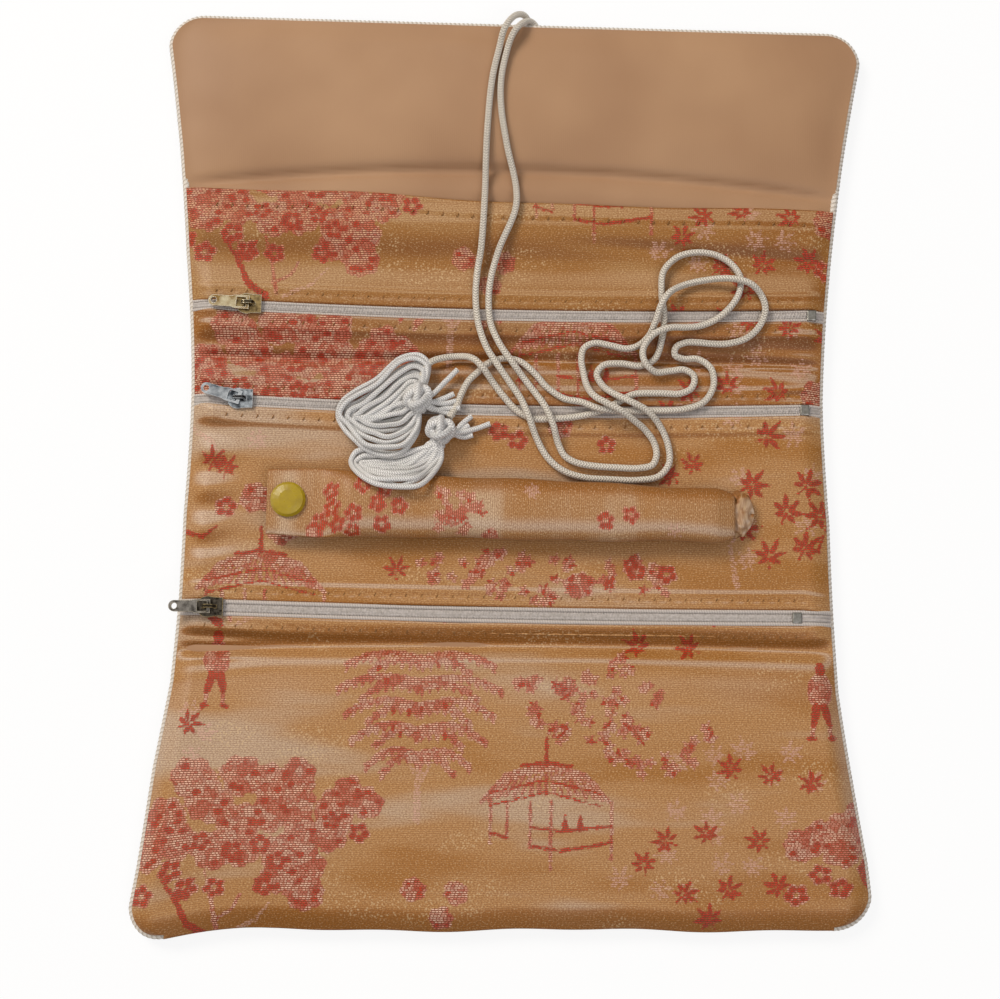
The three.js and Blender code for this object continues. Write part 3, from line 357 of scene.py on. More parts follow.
class Figures:
    def __init__(self, u, v, repeat):
        self.u, self.v, self.repeat = u.ravel(), v.ravel(), repeat
        self.fields = {name: np.full(self.u.shape, -2.0) for name in threadColours}

    def near(self, cu, cv, reach):
        du, dv = fold(self.u - cu, self.repeat[0]), fold(self.v - cv, self.repeat[1])
        at = np.flatnonzero((np.abs(du) < reach) & (np.abs(dv) < reach))
        return at, du[at], dv[at]

    def put(self, colour, at, inside):
        self.fields[colour][at] = np.maximum(self.fields[colour][at], inside)

    def spot(self, colour, cu, cv, wide, tall, turnDeg=0.0):
        at, du, dv = self.near(cu, cv, max(wide, tall) + 2)
        turn = math.radians(turnDeg)
        a, b = du * math.cos(turn) + dv * math.sin(turn), dv * math.cos(turn) - du * math.sin(turn)
        self.put(colour, at, (1 - np.sqrt((a / wide) ** 2 + (b / tall) ** 2)) * min(wide, tall))

    def leaf(self, colour, cu, cv, long, wide, turnDeg):
        # one pointed leaf from its stalk to its tip
        at, du, dv = self.near(cu, cv, long + 2)
        turn = math.radians(turnDeg)
        a, b = (du * math.cos(turn) + dv * math.sin(turn)) / long, dv * math.cos(turn) - du * math.sin(turn)
        half = wide / 2 * np.sin(math.pi * np.clip(a, 0, 1) ** 0.8)
        half = half + long * (np.minimum(a, 0) - np.maximum(a - 1, 0))
        self.put(colour, at, half - np.abs(b))

    def stroke(self, colour, points, wide, tip=None):
        points = np.asarray(points, float)
        centre = points.mean(axis=0)
        at, du, dv = self.near(centre[0], centre[1], np.abs(points - centre).max() + wide + 2)
        tip = wide if tip is None else tip
        for k in range(len(points) - 1):
            a, b = points[k] - centre, points[k + 1] - centre
            d = b - a
            t = np.clip(((du - a[0]) * d[0] + (dv - a[1]) * d[1]) / max(1e-9, d @ d), 0, 1)
            half = (wide + (tip - wide) * (k + t) / (len(points) - 1)) / 2
            self.put(colour, at, half - np.hypot(du - a[0] - t * d[0], dv - a[1] - t * d[1]))

    def mapleLeaf(self, colour, cu, cv, size, turnDeg):
        # six narrow leaflets in a fan, and a stalk
        for k, long in ((-2.5, 0.6), (-1.5, 0.85), (-0.5, 1.0), (0.5, 1.0), (1.5, 0.85), (2.5, 0.6)):
            leafDeg = turnDeg + k * 48
            turn = math.radians(leafDeg)
            foot = cu + size * 0.1 * math.cos(turn), cv + size * 0.1 * math.sin(turn)
            self.leaf(colour, *foot, size * long, size * 0.3, leafDeg)
        turn = math.radians(turnDeg + 180)
        end = cu + size * 0.6 * math.cos(turn), cv + size * 0.6 * math.sin(turn)
        self.stroke(colour, [(cu, cv), end], 0.7)

    def floret(self, colour, cu, cv, size, turnDeg):
        for k in range(5):
            turn = math.radians(turnDeg + 72 * k)
            pu, pv = cu + size * 0.6 * math.cos(turn), cv + size * 0.56 * math.sin(turn)
            self.spot("pink", pu, pv, size * 0.46, size * 0.42)
            self.spot(colour, pu, pv, size * 0.33, size * 0.29)

    def blossom(self, cu, cv, size, draw):
        # a round head of petals, some of them turned to their red side
        self.spot("pink", cu, cv, size * 0.92, size * 0.88)
        petals = 7 if size > 4.5 else 6
        for k in range(petals):
            turn = draw.uniform(0, 0.5) + turnFull * k / petals
            out = size * draw.uniform(0.6, 0.74)
            pu, pv = cu + out * math.cos(turn), cv + out * 0.95 * math.sin(turn)
            self.spot("pink", pu, pv, size * 0.43, size * 0.42)
            if draw.random() < 0.34:
                self.spot("red", pu, pv, size * 0.22, size * 0.17)

    def frond(self, cu, cv, reach, drop, draw):
        # one drooping branch of the willow: scallops along an arc, small leaves under it
        for t in np.arange(0.0, 1.0, 2.1 / abs(reach)):
            pu, pv = cu + reach * t, cv + 2.4 * math.sin(t * 2.4) - drop * t ** 2.2
            self.spot("pink", pu, pv, 1.7, 1.0, -30 * math.copysign(t, reach))
            colour = "red" if draw.random() < 0.06 else "pink"
            self.leaf(colour, pu, pv, draw.uniform(2.2, 3.4), 1.4, -90 + 25 * math.copysign(t, reach))


def drawRepeat(figures, layout, seed):
    draw = np.random.default_rng(seed)
    for cu, cv, size in scatter(draw, layout["blossoms"]):
        figures.blossom(cu, cv, size, draw)
    for cu, cv, size in scatter(draw, layout["florets"]):
        figures.floret("red", cu, cv, size, draw.uniform(0, 72))
    for colour, line, wide, tip in layout["branches"]:
        figures.stroke(colour, line, wide, tip)
    for cu in layout["willows"]:
        for tier, reach in ((7.0, 13.0), (14.0, 17.0), (20.5, 20.0), (27.0, 23.0), (33.5, 21.0)):
            for side in (-1, 1):
                for k in range(2):
                    figures.frond(cu + side * 0.6, tier - 1.6 * k, side * reach * (1 - 0.3 * k), 4.6 + 1.2 * k, draw)
    for cu, cv in layout["pavilions"]:
        drawPavilion(figures, cu, cv)
    for cu, cv, size in scatter(draw, layout["sprays"]):
        for _ in range(int(size * 1.8)):
            du, dv = draw.normal(0, size * 0.5, 2)
            for k in range(5):
                colour, long = "red" if draw.random() < 0.12 else "pink", draw.uniform(1.7, 2.4)
                figures.leaf(colour, cu + du, cv + dv, long, 1.15, draw.uniform(-15, 15) + 72 * k)
    for colour, key in (("red", "mapleRed"), ("pale", "maplePale")):
        for cu, cv, size in scatter(draw, layout[key]):
            figures.mapleLeaf(colour, cu, cv, size, draw.uniform(20, 160))
    for cu, cv in layout["people"]:
        drawPerson(figures, cu, cv)
    for _ in range(26):
        place = draw.uniform(-93, 93), draw.uniform(-42, 42)
        size = draw.uniform(5, 13), draw.uniform(2.5, 5)
        figures.spot("gold", *place, *size, draw.uniform(-15, 15))


def drawPavilion(figures, cu, cv):
    # thatched round roof with its finial, posts, a railing and two seats
    def draw(colour, points, *wide):
        figures.stroke(colour, [(cu + u, cv + v) for u, v in points], *wide)

    for t in np.linspace(-1, 1, 17):
        thatch = [(-6 + t * 4.0, 10.6), (-6 + t * 11.0, 8.6 - 0.6 * t * t), (-6 + t * 17.5, 3.0 - 2.4 * t * t)]
        draw("pink", thatch, 0.9, 1.3)
    draw("red", [(-13.0, 10.4), (-6.0, 11.6), (1.0, 10.4)], 1.1)
    draw("red", [(-6.0, 11.0), (-6.0, 18.5)], 1.5, 0.8)
    for drop in (6.6, 3.2):
        draw("red", [(-21.0, drop - 3.6), (-6, drop), (9.0, drop - 3.6)], 0.7)
    for t, low in ((-21.0, -11.0), (-16.5, -9.0), (-10.2, -12.0), (-4.6, -18.0), (11.8, -15.5)):
        draw("pink", [(t, 0.6), (t, low)], 1.0)
    draw("red", [(-21.5, -8.0), (-16.5, -9.4)], 1.0)
    draw("red", [(-10.2, -6.4), (-2.0, -7.6), (11.8, -6.0)], 0.9)
    draw("red", [(-10.2, -11.6), (-2.0, -13.0), (12.0, -10.6)], 1.0)
    for t in (-0.8, 3.4):
        draw("red", [(t, -7.0), (t, -3.2)], 1.9, 0.7)


def drawPerson(figures, cu, cv):
    # small standing figure in a jacket and gathered trousers
    figures.spot("red", cu, cv + 9.4, 1.5, 1.9)
    figures.spot("pink", cu, cv + 3.4, 3.7, 4.9)
    for side in (-1, 1):
        figures.stroke("red", [(cu + side * 1.2, cv - 1.4), (cu + side * 2.3, cv - 5.6)], 2.7, 1.8)
        figures.stroke("pink", [(cu + side * 2.3, cv - 6.0), (cu + side * 2.5, cv - 9.0)], 1.3)
        figures.spot("red", cu + side * 2.9, cv - 9.6, 1.3, 0.8)


def weaveFigures(piece, u, v, layout=garden, seed=5, lean=1.0):
    # stores how far each point is inside each figure, its place on the cloth and how it leans
    figures = Figures(u, v, layout["repeat"])
    drawRepeat(figures, layout, seed)
    shares = [np.clip(0.5 + figures.fields[name] / 4, 0, 1) for name in threadColours]
    setAttribute(piece, "figure", "FLOAT_COLOR", np.stack(shares, axis=1))
    setAttribute(piece, "weave", "FLOAT_VECTOR", np.stack([u.ravel(), v.ravel(), np.zeros(u.size)], axis=1))
    normals = np.zeros(len(piece.data.vertices) * 3)
    piece.data.vertices.foreach_get("normal", normals)
    # the lean drives the brocade's painted shade and painted highlight
    setAttribute(piece, "tilt", "FLOAT", -lean * normals.reshape(-1, 3)[:, 1])


# rayon brocade, woven: a ground that shifts from gold to a pale sheen, partly the cloth's own tone and partly painted
# sheen, figures of weft floats in short rows;
# rows and grain are drawn a little coarser than the cloth's
# in these looks the fold colour is painted shade, the gleam colour a painted highlight, the crest colour a painted
# highlight on each float, and the gap colour partly painted shadow between rows
brocadeLook = {"ground": "B58552", "gold": "A66F30", "sheen": "C0A58A", "paintedGleam": "CAB4A0", "deep": "7C4E22",
               "fleck": "D6B88C", "crestHighlight": "E8BEA4", "fold": "9A5C14", "gap": "702410",
               "rowMm": 0.58, "dashMm": 0.95, "grainMm": 0.42, "petalMm": 2.7}


def makeBrocade(name, look):
    made, tree = newMaterial(name)
    math2, ramp, mix = nodeMakers(tree)
    weave = addNode(tree, "ShaderNodeAttribute", {"attribute_name": "weave"}, out="Vector")
    split = addNode(tree, "ShaderNodeSeparateXYZ", links={0: weave}).node
    u, v = split.outputs[0], split.outputs[1]
    figure = addNode(tree, "ShaderNodeAttribute", {"attribute_name": "figure"}).node
    parts = addNode(tree, "ShaderNodeSeparateColor", links={0: figure.outputs["Color"]}).node
    # one float: rounded across its row, tied down at both ends
    rows = math2("DIVIDE", v, look["rowMm"])
    row = math2("FLOOR", rows)
    rowShift = addNode(tree, "ShaderNodeTexWhiteNoise", {"noise_dimensions": "1D"}, {"W": row})
    dashes = math2("MULTIPLY_ADD", rowShift, 5.3, math2("DIVIDE", u, look["dashMm"]))
    cell = addNode(tree, "ShaderNodeCombineXYZ", links={0: math2("FLOOR", dashes), 1: row})
    chance = addNode(tree, "ShaderNodeTexWhiteNoise", {"noise_dimensions": "2D"}, {"Vector": cell})
    ridge = ramp(math2("PINGPONG", math2("FRACT", rows), 0.5), 0.04, 0.4)
    tied = ramp(math2("PINGPONG", math2("FRACT", dashes), 0.5), 0.0, 0.2, 0.15)
    thread = math2("MULTIPLY", ridge, tied)
    ragged = math2("MULTIPLY_ADD", chance, 0.12, -0.06)
    masks = [ramp(math2("ADD", parts.outputs[k], ragged), 0.46, 0.55) for k in range(3)]
    # ground: long soft bands of tone, partly the cloth's own and partly painted sheen, fine grain and pale flecks
    bands = addNode(tree, "ShaderNodeVectorMath", {"operation": "MULTIPLY"}, {0: weave, 1: (0.2, 1.0, 1.0)})
    drift = addNode(tree, "ShaderNodeTexNoise", {}, {"Vector": bands, "Scale": 0.055, "Detail": 3.0, "Roughness": 0.5})
    drift = math2("MULTIPLY_ADD", u, -0.0006, drift)    # painted light fall-off: paler to one selvage, darker gold to the other, as if lit more from one side
    ground = mix(ramp(drift, 0.50, 0.66), look["ground"], look["sheen"])
    ground = mix(ramp(drift, 0.47, 0.34), ground, look["gold"])
    # painted shade and painted highlight: cloth that leans to the foot, away from the light, is painted a darker gold;
    # cloth that leans to the top, toward the light, gets a painted gleam
    tilt = addNode(tree, "ShaderNodeAttribute", {"attribute_name": "tilt"}, out="Fac")
    ground = mix(ramp(tilt, 0.05, 0.36, 0.0, 0.8), ground, look["fold"])
    paintedGleam = math2("MULTIPLY", ramp(tilt, -0.04, -0.26, 0.0, 0.6), ramp(tilt, -0.6, -0.3))
    ground = mix(paintedGleam, ground, look["paintedGleam"])
    grainAt = addNode(tree, "ShaderNodeVectorMath", {"operation": "MULTIPLY"}, {0: weave, 1: (0.8, 1.2, 1.0)})
    grain = addNode(tree, "ShaderNodeTexNoise", {}, {"Vector": grainAt, "Scale": 1 / look["grainMm"], "Detail": 1.0})
    ground = mix(ramp(thread, 0.75, 0.1, 0.0, 0.42), ground, look["deep"])
    ground = mix(ramp(grain, 0.52, 0.34, 0.0, 0.45), ground, look["deep"])
    ground = mix(ramp(grain, 0.54, 0.74, 0.0, 0.42), ground, look["fleck"])
    speck = addNode(tree, "ShaderNodeTexVoronoi", {}, {"Vector": weave, "Scale": 1.1})
    plain = ramp(figure.outputs["Alpha"], 0.45, 0.8, 0.0, 0.45)
    colour = mix(math2("MULTIPLY", ramp(speck, 0.38, 0.2), plain), ground, look["fleck"])
    # floats: petals differ in tone, each thread has a painted highlight along its crest, and between the rows the
    # ground shows, darkened as painted shadow
    petalAt = {"Vector": weave, "Scale": 1 / look["petalMm"]}
    petal = addNode(tree, "ShaderNodeTexVoronoi", {}, petalAt, out="Color")
    petal = addNode(tree, "ShaderNodeSeparateColor", links={0: petal}, out=0)
    between = addNode(tree, "ShaderNodeTexVoronoi", {"feature": "DISTANCE_TO_EDGE"}, petalAt)
    crestHighlight = math2("MULTIPLY", ramp(thread, 0.4, 0.9), ramp(chance, 0.1, 0.7, 0.2, 0.95))
    crestHighlight = math2("MULTIPLY", crestHighlight, ramp(petal, 0.1, 0.4, 0.3, 1.0))
    pink = mix(ramp(petal, 0.1, 0.45), "BC4830", "CC7860")
    pink = mix(ramp(petal, 0.6, 0.95), pink, "C6917E")
    pink = mix(ramp(chance, 0.2, 0.05, 0.0, 0.8), pink, "AE3622")
    pink = mix(math2("MULTIPLY", crestHighlight, ramp(between, 0.0, 0.1, 0.5, 1.0)), pink, look["crestHighlight"])
    pink = mix(ramp(between, 0.07, 0.01, 0.0, 0.4), pink, "9A3A26")
    shown, under = ramp(thread, 0.1, 0.8), mix(0.7, ground, look["gap"])
    pink = mix(shown, under, pink)
    red = mix(shown, under, mix(chance, "9E1A08", "C4381C"))
    pale = math2("MULTIPLY", masks[2], math2("MULTIPLY", thread, ramp(chance, 0.05, 0.6, 0.2, 0.8)))
    for mask, shade in ((pale, "D2A494"), (masks[1], pink), (masks[0], red)):
        colour = mix(mask, colour, shade)
    # painted shade: cloth that leans away from the light is darkened
    leanShade = ramp(tilt, 0.12, 0.6, 1.0, 0.84)
    colour = addNode(tree, "ShaderNodeVectorMath", {"operation": "SCALE"}, {0: colour, "Scale": leanShade})
    raised = math2("MAXIMUM", math2("MAXIMUM", masks[0], masks[1]), masks[2])
    raised = math2("MULTIPLY_ADD", grain, 0.5, math2("MULTIPLY", raised, thread))
    bump = addNode(tree, "ShaderNodeBump", {}, {"Height": raised, "Strength": 0.5, "Distance": 0.00018})
    surface = addNode(tree, "ShaderNodeBsdfPrincipled", {}, {
        "Base Color": colour, "Normal": bump, "Roughness": 0.44, "Specular IOR Level": 0.3,
        "Sheen Weight": 0.03, "Sheen Roughness": 0.4, "Sheen Tint": hexColour("F0DCC0")})
    finishMaterial(tree, surface)
    return made


brocade = makeBrocade("rayonBrocadeWoven", brocadeLook)
# the ring bar's cloth is turned a quarter; this copy of the brocade paints its sheen and flecks paler, a painted sheen
barBrocadeSheen = makeBrocade("rayonBrocadeTurnedSheen", {
    **brocadeLook, "ground": "AE8052", "gold": "AA743A", "sheen": "C6A888", "fleck": "E6CCA6", "gap": "8A3A22"})
# darker, more gold copies of the brocade for the slip pocket and the slack first pocket: painted shade, for cloth that
# lies low and in the fold
slipBrocadeShaded = makeBrocade("rayonBrocadeGoldShaded", {
    **brocadeLook, "ground": "9C692E", "gold": "8C5416", "sheen": "AA804E", "paintedGleam": "C09C74", "fold": "7C4408",
    "crestHighlight": "D8A680"})
slackBrocadeShaded = makeBrocade("rayonBrocadeSlackShaded", {
    **brocadeLook, "ground": "96602C", "gold": "9C601A", "sheen": "A57C50", "fold": "80440A", "crestHighlight": "DCB092"})

# polyester satin, woven: smooth warp floats, a soft long highlight and faint threads
satinLook = {"low": "9E7858", "high": "AC8664", "threadMm": 0.55}
satin, tree = newMaterial("polyesterSatinWoven")
spot = addNode(tree, "ShaderNodeTexCoord", out="Object")
drift = addNode(tree, "ShaderNodeTexNoise", {}, {"Vector": spot, "Scale": 26.0, "Detail": 2.0})
shade = addRamp(tree, drift, 0.35, 0.68, kind="LINEAR")
tone = addMix(tree, shade, satinLook["low"], satinLook["high"])
threads = addNode(tree, "ShaderNodeTexWave", {"bands_direction": "X"}, {
    "Vector": spot, "Scale": turnFull / 20 / (satinLook["threadMm"] * mm), "Distortion": 1.2, "Detail": 2.0})
bump = addNode(tree, "ShaderNodeBump", {}, {"Height": threads, "Strength": 0.12, "Distance": 0.0001})
surface = addNode(tree, "ShaderNodeBsdfPrincipled", {}, {
    "Base Color": tone, "Normal": bump, "Roughness": 0.52, "Specular IOR Level": 0.3,
    "Sheen Weight": 0.1, "Sheen Roughness": 0.35, "Sheen Tint": hexColour("F4E2D0")})
finishMaterial(tree, surface)


def makeThread(name, light, dark, roughness, pattern, strength):
    # white spun or knitted cords: pattern is ("knit", wales, stitch mm) or ("twist", plies, lay mm)
    made, tree = newMaterial(name)
    math2, ramp, mix = nodeMakers(tree)
    lay = addNode(tree, "ShaderNodeAttribute", {"attribute_name": "lay"}, out="Vector")
    split = addNode(tree, "ShaderNodeSeparateXYZ", links={0: lay}).node
    columns = math2("MULTIPLY", split.outputs[1], float(pattern[1]))
    along = math2("DIVIDE", split.outputs[0], pattern[2])
    if pattern[0] == "knit":
        across = math2("PINGPONG", math2("FRACT", columns), 0.5)
        phase = math2("MULTIPLY_ADD", across, 1.5, along)
    else:
        phase = math2("ADD", columns, along)
    height = ramp(math2("PINGPONG", math2("FRACT", phase), 0.5), 0.0, 0.34)
    # painted highlight on the raised stitches and plies, painted shade in the grooves between them
    tone = mix(height, dark, light)
    bump = addNode(tree, "ShaderNodeBump", {}, {"Height": height, "Strength": strength, "Distance": 0.0003})
    surface = addNode(tree, "ShaderNodeBsdfPrincipled", {}, {
        "Base Color": tone, "Normal": bump, "Roughness": roughness, "Specular IOR Level": 0.4,
        "Sheen Weight": 0.25, "Sheen Roughness": 0.4})
    finishMaterial(tree, surface)
    return made


# rayon cord, knitted: small V stitches that catch the light, painted lighter on their raised loops and darker between
# them; cotton piping, twisted: slanting plies, painted the same way
knittedCord = makeThread("rayonCordKnitted", "DFD7CA", "9E917F", 0.42, ("knit", 4, 0.8), 0.6)
thinCord = makeThread("rayonCordKnittedThin", "E9E7E4", "ABA7A3", 0.42, ("knit", 4, 0.66), 0.6)
twistedPiping = makeThread("cottonPipingTwisted", "D8CFC4", "B3A798", 0.6, ("twist", 2, 1.25), 0.5)
tapeEdge = makeThread("polyesterTapeStitched", "BFB5AD", "A99F97", 0.55, ("twist", 1, 0.7), 0.25)


bailLow, bailHigh = 8.6, 9.2


def makePlain(name, colour, shade, roughness, metallic, grainMm, strength, extra=None, wearAndGlint=None, bailShade=0.0):
    # cast, moulded or baked surfaces: one tone, broken by fine grain; the edge colour is partly rubbed wear and partly
    # a painted glint
    made, tree = newMaterial(name)
    _, ramp, mix = nodeMakers(tree)
    spot = addNode(tree, "ShaderNodeTexCoord", out="Object")
    grain = addNode(tree, "ShaderNodeTexNoise", {}, {"Vector": spot, "Scale": 1 / (grainMm * mm), "Detail": 3.0})
    tone = mix(ramp(grain, 0.35, 0.68, kind="LINEAR"), colour, shade)
    if wearAndGlint:
        # painted shade: the bail above the plate is darkened, as if shaded by its slot
        height = addNode(tree, "ShaderNodeSeparateXYZ", links={0: spot}, out=2)
        tone = mix(ramp(height, bailLow * mm, bailHigh * mm, 0.0, bailShade, "LINEAR"), tone, "26211B")
        # edges are lightened, partly as rubbed wear and partly as a painted glint
        flat = addNode(tree, "ShaderNodeNewGeometry", out="Normal")
        bevelled = addNode(tree, "ShaderNodeBevel", {"samples": 6}, {"Radius": 0.3 * mm})
        edge = addNode(tree, "ShaderNodeVectorMath", {"operation": "DOT_PRODUCT"}, {0: flat, 1: bevelled}, out="Value")
        tone = mix(ramp(edge, 0.98, 0.85, kind="LINEAR"), tone, wearAndGlint)
    rough = ramp(grain, 0.3, 0.7, roughness * 0.8, roughness * 1.25, "LINEAR")
    bump = addNode(tree, "ShaderNodeBump", {}, {"Height": grain, "Strength": strength, "Distance": 0.00005})
    surface = addNode(tree, "ShaderNodeBsdfPrincipled", {}, {
        "Base Color": tone, "Normal": bump, "Roughness": rough, "Metallic": metallic, **(extra or {})})
    finishMaterial(tree, surface)
    return made


# zinc castings, plated: brass gone dull on one slider, bright chrome on the next, blackened on the third
# on these plated fittings the grain mixes the plate's colour with a much darker one: painted reflections over the
# metal's own grain
brassZinc = makePlain("zincBrassPlated", "C2A873", "6A563A", 0.24, 1.0, 1.2, 0.3, wearAndGlint="F6ECD2", bailShade=0.85)
brassPull = makePlain("zincBrassPolished", "EBDCB6", "8A6E42", 0.2, 1.0, 2.6, 0.3, wearAndGlint="FBF4E2")
chromeZinc = makePlain("zincChromePlated", "DDE4E9", "3A4046", 0.14, 1.0, 1.6, 0.2, wearAndGlint="FBFCFD", bailShade=0.9)
chromePull = makePlain("zincChromePolished", "F0F4F6", "6C747C", 0.12, 1.0, 2.8, 0.2, wearAndGlint="FBFCFD")
blackZinc = makePlain("zincBlackened", "6A6256", "221E18", 0.3, 1.0, 0.9, 0.4, wearAndGlint="D9BE86", bailShade=0.8)
blackPull = makePlain("zincBlackenedPull", "A09A92", "2C2823", 0.3, 1.0, 1.6, 0.4, wearAndGlint="C9BEA8")
nickelSteel = makePlain("steelNickelled", "96938C", "7A776F", 0.46, 1.0, 0.9, 0.2)
# steel cap, baked enamel: even olive yellow with a tight gloss
enamelCap = makePlain("steelEnamelBaked", "A88E0A", "9A7F06", 0.3, 0.0, 2.2, 0.1,
                      {"Coat Weight": 0.3, "Coat Roughness": 0.15})
# nylon monofilament, moulded into coils: milky grey with a plastic gloss
nylonCoil = makePlain("nylonCoilMoulded", "B8AFA9", "A0978F", 0.4, 0.0, 0.8, 0.2)
# polyester tape, woven: dull white
zipTape = makePlain("polyesterTapeWoven", "DCD6D1", "C9C1BB", 0.7, 0.0, 0.5, 0.6)
# sewing thread, spun: gold, a shade darker than the cloth, partly its own colour and partly painted shade of the
# stitch holes
sewingThread = makePlain("cottonThreadSpun", "9A6C34", "7E5426", 0.7, 0.0, 0.4, 0.4)
print("materials made:", len(bpy.data.materials))

# padded back: outer cover, wadding and lining in one, cut where the sections don't bend
backLook = {"inset": 1.15, "seamLow": 2.0, "seamHigh": 3.5, "seamFlap": 4.3, "linerTop": 3.8,
            "flapSwell": 3.1, "step": 1.0, "columns": 190}


def creaseY(x):
    return 86.0 + 0.0012 * x - 0.00072 * (x + 4) ** 2


def backTop(x, y):
    flap = np.clip((y - creaseY(x)) / (roll["top"] - backLook["inset"] - creaseY(x)), 0, 1)
    puff = backLook["flapSwell"] * np.clip(np.sin(math.pi * flap ** 0.8), 0, 1) ** 0.55
    puff = puff * (1 - np.clip(np.abs(x) / sideAt(y), 0, 1) ** 8)
    wander = ripple(x, y, 11, 46, 0.28) + ripple(x, y, 12, 16, 0.07, lean=1.2)
    strip = 1.0 * np.exp(-((y - creaseY(x) + 6) / 3.6) ** 2)
    crease = -0.8 * np.exp(-((y - creaseY(x)) / 1.3) ** 2)
    top = backLook["linerTop"] + puff + strip + crease * smoothStep(70, 80, y) + wander * smoothStep(72, 92, y)
    edge = edgeDistance(x, y, backLook["inset"])
    seam = backLook["seamHigh"] + (backLook["seamFlap"] - backLook["seamHigh"]) * smoothStep(76, 84, y)
    return seam + (top - seam) * np.sqrt(smoothStep(0, 7, edge))


def backBottom(x, y):
    edge = edgeDistance(x, y, backLook["inset"])
    low = 0.12 + 0.12 * (1 + np.sin(x / 17 + y / 29))
    return backLook["seamLow"] + (low - backLook["seamLow"]) * np.sqrt(smoothStep(0, 6, edge))


def makeBack(name, low, high):
    ys = np.linspace(low, high, int((high - low) / backLook["step"]) + 1)
    for end, sign in ((roll["top"] - backLook["inset"], 1), (roll["foot"] + backLook["inset"], -1)):
        if abs((high if sign > 0 else low) - end) < 0.1:    # closer rows round the corners
            ys = np.union1d(ys, end - sign * roll["corner"] * (1 - np.sin(np.linspace(0, math.pi / 2, 16))))
    s = np.linspace(-1, 1, backLook["columns"])
    y = np.repeat(ys[:, None], len(s), axis=1)
    x = s[None, :] * sideAt(ys, backLook["inset"])[:, None]
    count, wide = y.size, len(s)
    points = np.concatenate([np.stack([x, y, at(x, y)], 2).reshape(-1, 3) for at in (backTop, backBottom)])
    faces = gridFaces(len(ys), wide) + gridFaces(len(ys), wide, count, flip=True)
    rim = [j for j in range(wide)] + [i * wide + wide - 1 for i in range(1, len(ys))]
    rim += [(len(ys) - 1) * wide + j for j in range(wide - 2, -1, -1)] + [i * wide for i in range(len(ys) - 2, 0, -1)]
    walls = [[a + count, b + count, b, a] for a, b in zip(rim, rim[1:] + rim[:1])]
    piece = makePiece(name, settle(points), faces + walls, satin, brocade)
    topFaces = (len(ys) - 1) * (wide - 1)
    piece.data.polygons.foreach_set("material_index", [0] * topFaces + [1] * (len(faces) + len(walls) - topFaces))
    # no lean here, or the cut ends would show
    weaveFigures(piece, np.concatenate([x, x]), np.concatenate([-y, -y]) + 40, lean=0.0)
    return piece


def bendOver(piece):
    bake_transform(piece)


backCuts = {"upper": 58.0, "middle": -10.0}
backFlap = makeBack("paddedBackFlap", backCuts["upper"], roll["top"] - backLook["inset"])
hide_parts("flap_outer_cover", "flap_wadding", "flap_lining")
bendOver(backFlap)
backMiddle = makeBack("paddedBackMiddle", backCuts["middle"], backCuts["upper"])
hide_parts("upper_outer_cover", "upper_wadding", "upper_lining")
bendOver(backMiddle)
backLower = makeBack("paddedBackLower", roll["foot"] + backLook["inset"], backCuts["middle"])
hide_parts("middle_outer_cover", "middle_wadding", "middle_lining",
            "lower_outer_cover", "lower_wadding", "lower_lining")
bendOver(backLower)
print("padded back made")

# pocket panels: each a cloth between two edges, hems turned under at the zips
panelLook = {"top": 6.6, "hem": 0.5, "hemWide": 4.6, "inset": 1.15, "seam": 4.4, "step": 0.55, "roll": 0.5}
stitchLook = {"long": 1.0, "lean": 0.25, "thick": 0.14, "pitch": 4.3, "hemLine": 2.3, "mouthLine": 4.4}
panels = {}


def stitchDents(x, y, rows):
    # hand stitches pull a small dent in the cloth every few millimetres
    dent = np.zeros(np.broadcast(x, y).shape)
    for lineAt, shift in rows:
        off = y - lineAt(x)
        near = fold(x - shift, stitchLook["pitch"])
        dent -= 0.16 * np.exp(-(near / 0.8) ** 2 - (off / 0.6) ** 2)
        dent -= 0.10 * np.exp(-(off / 0.7) ** 2)
    return dent


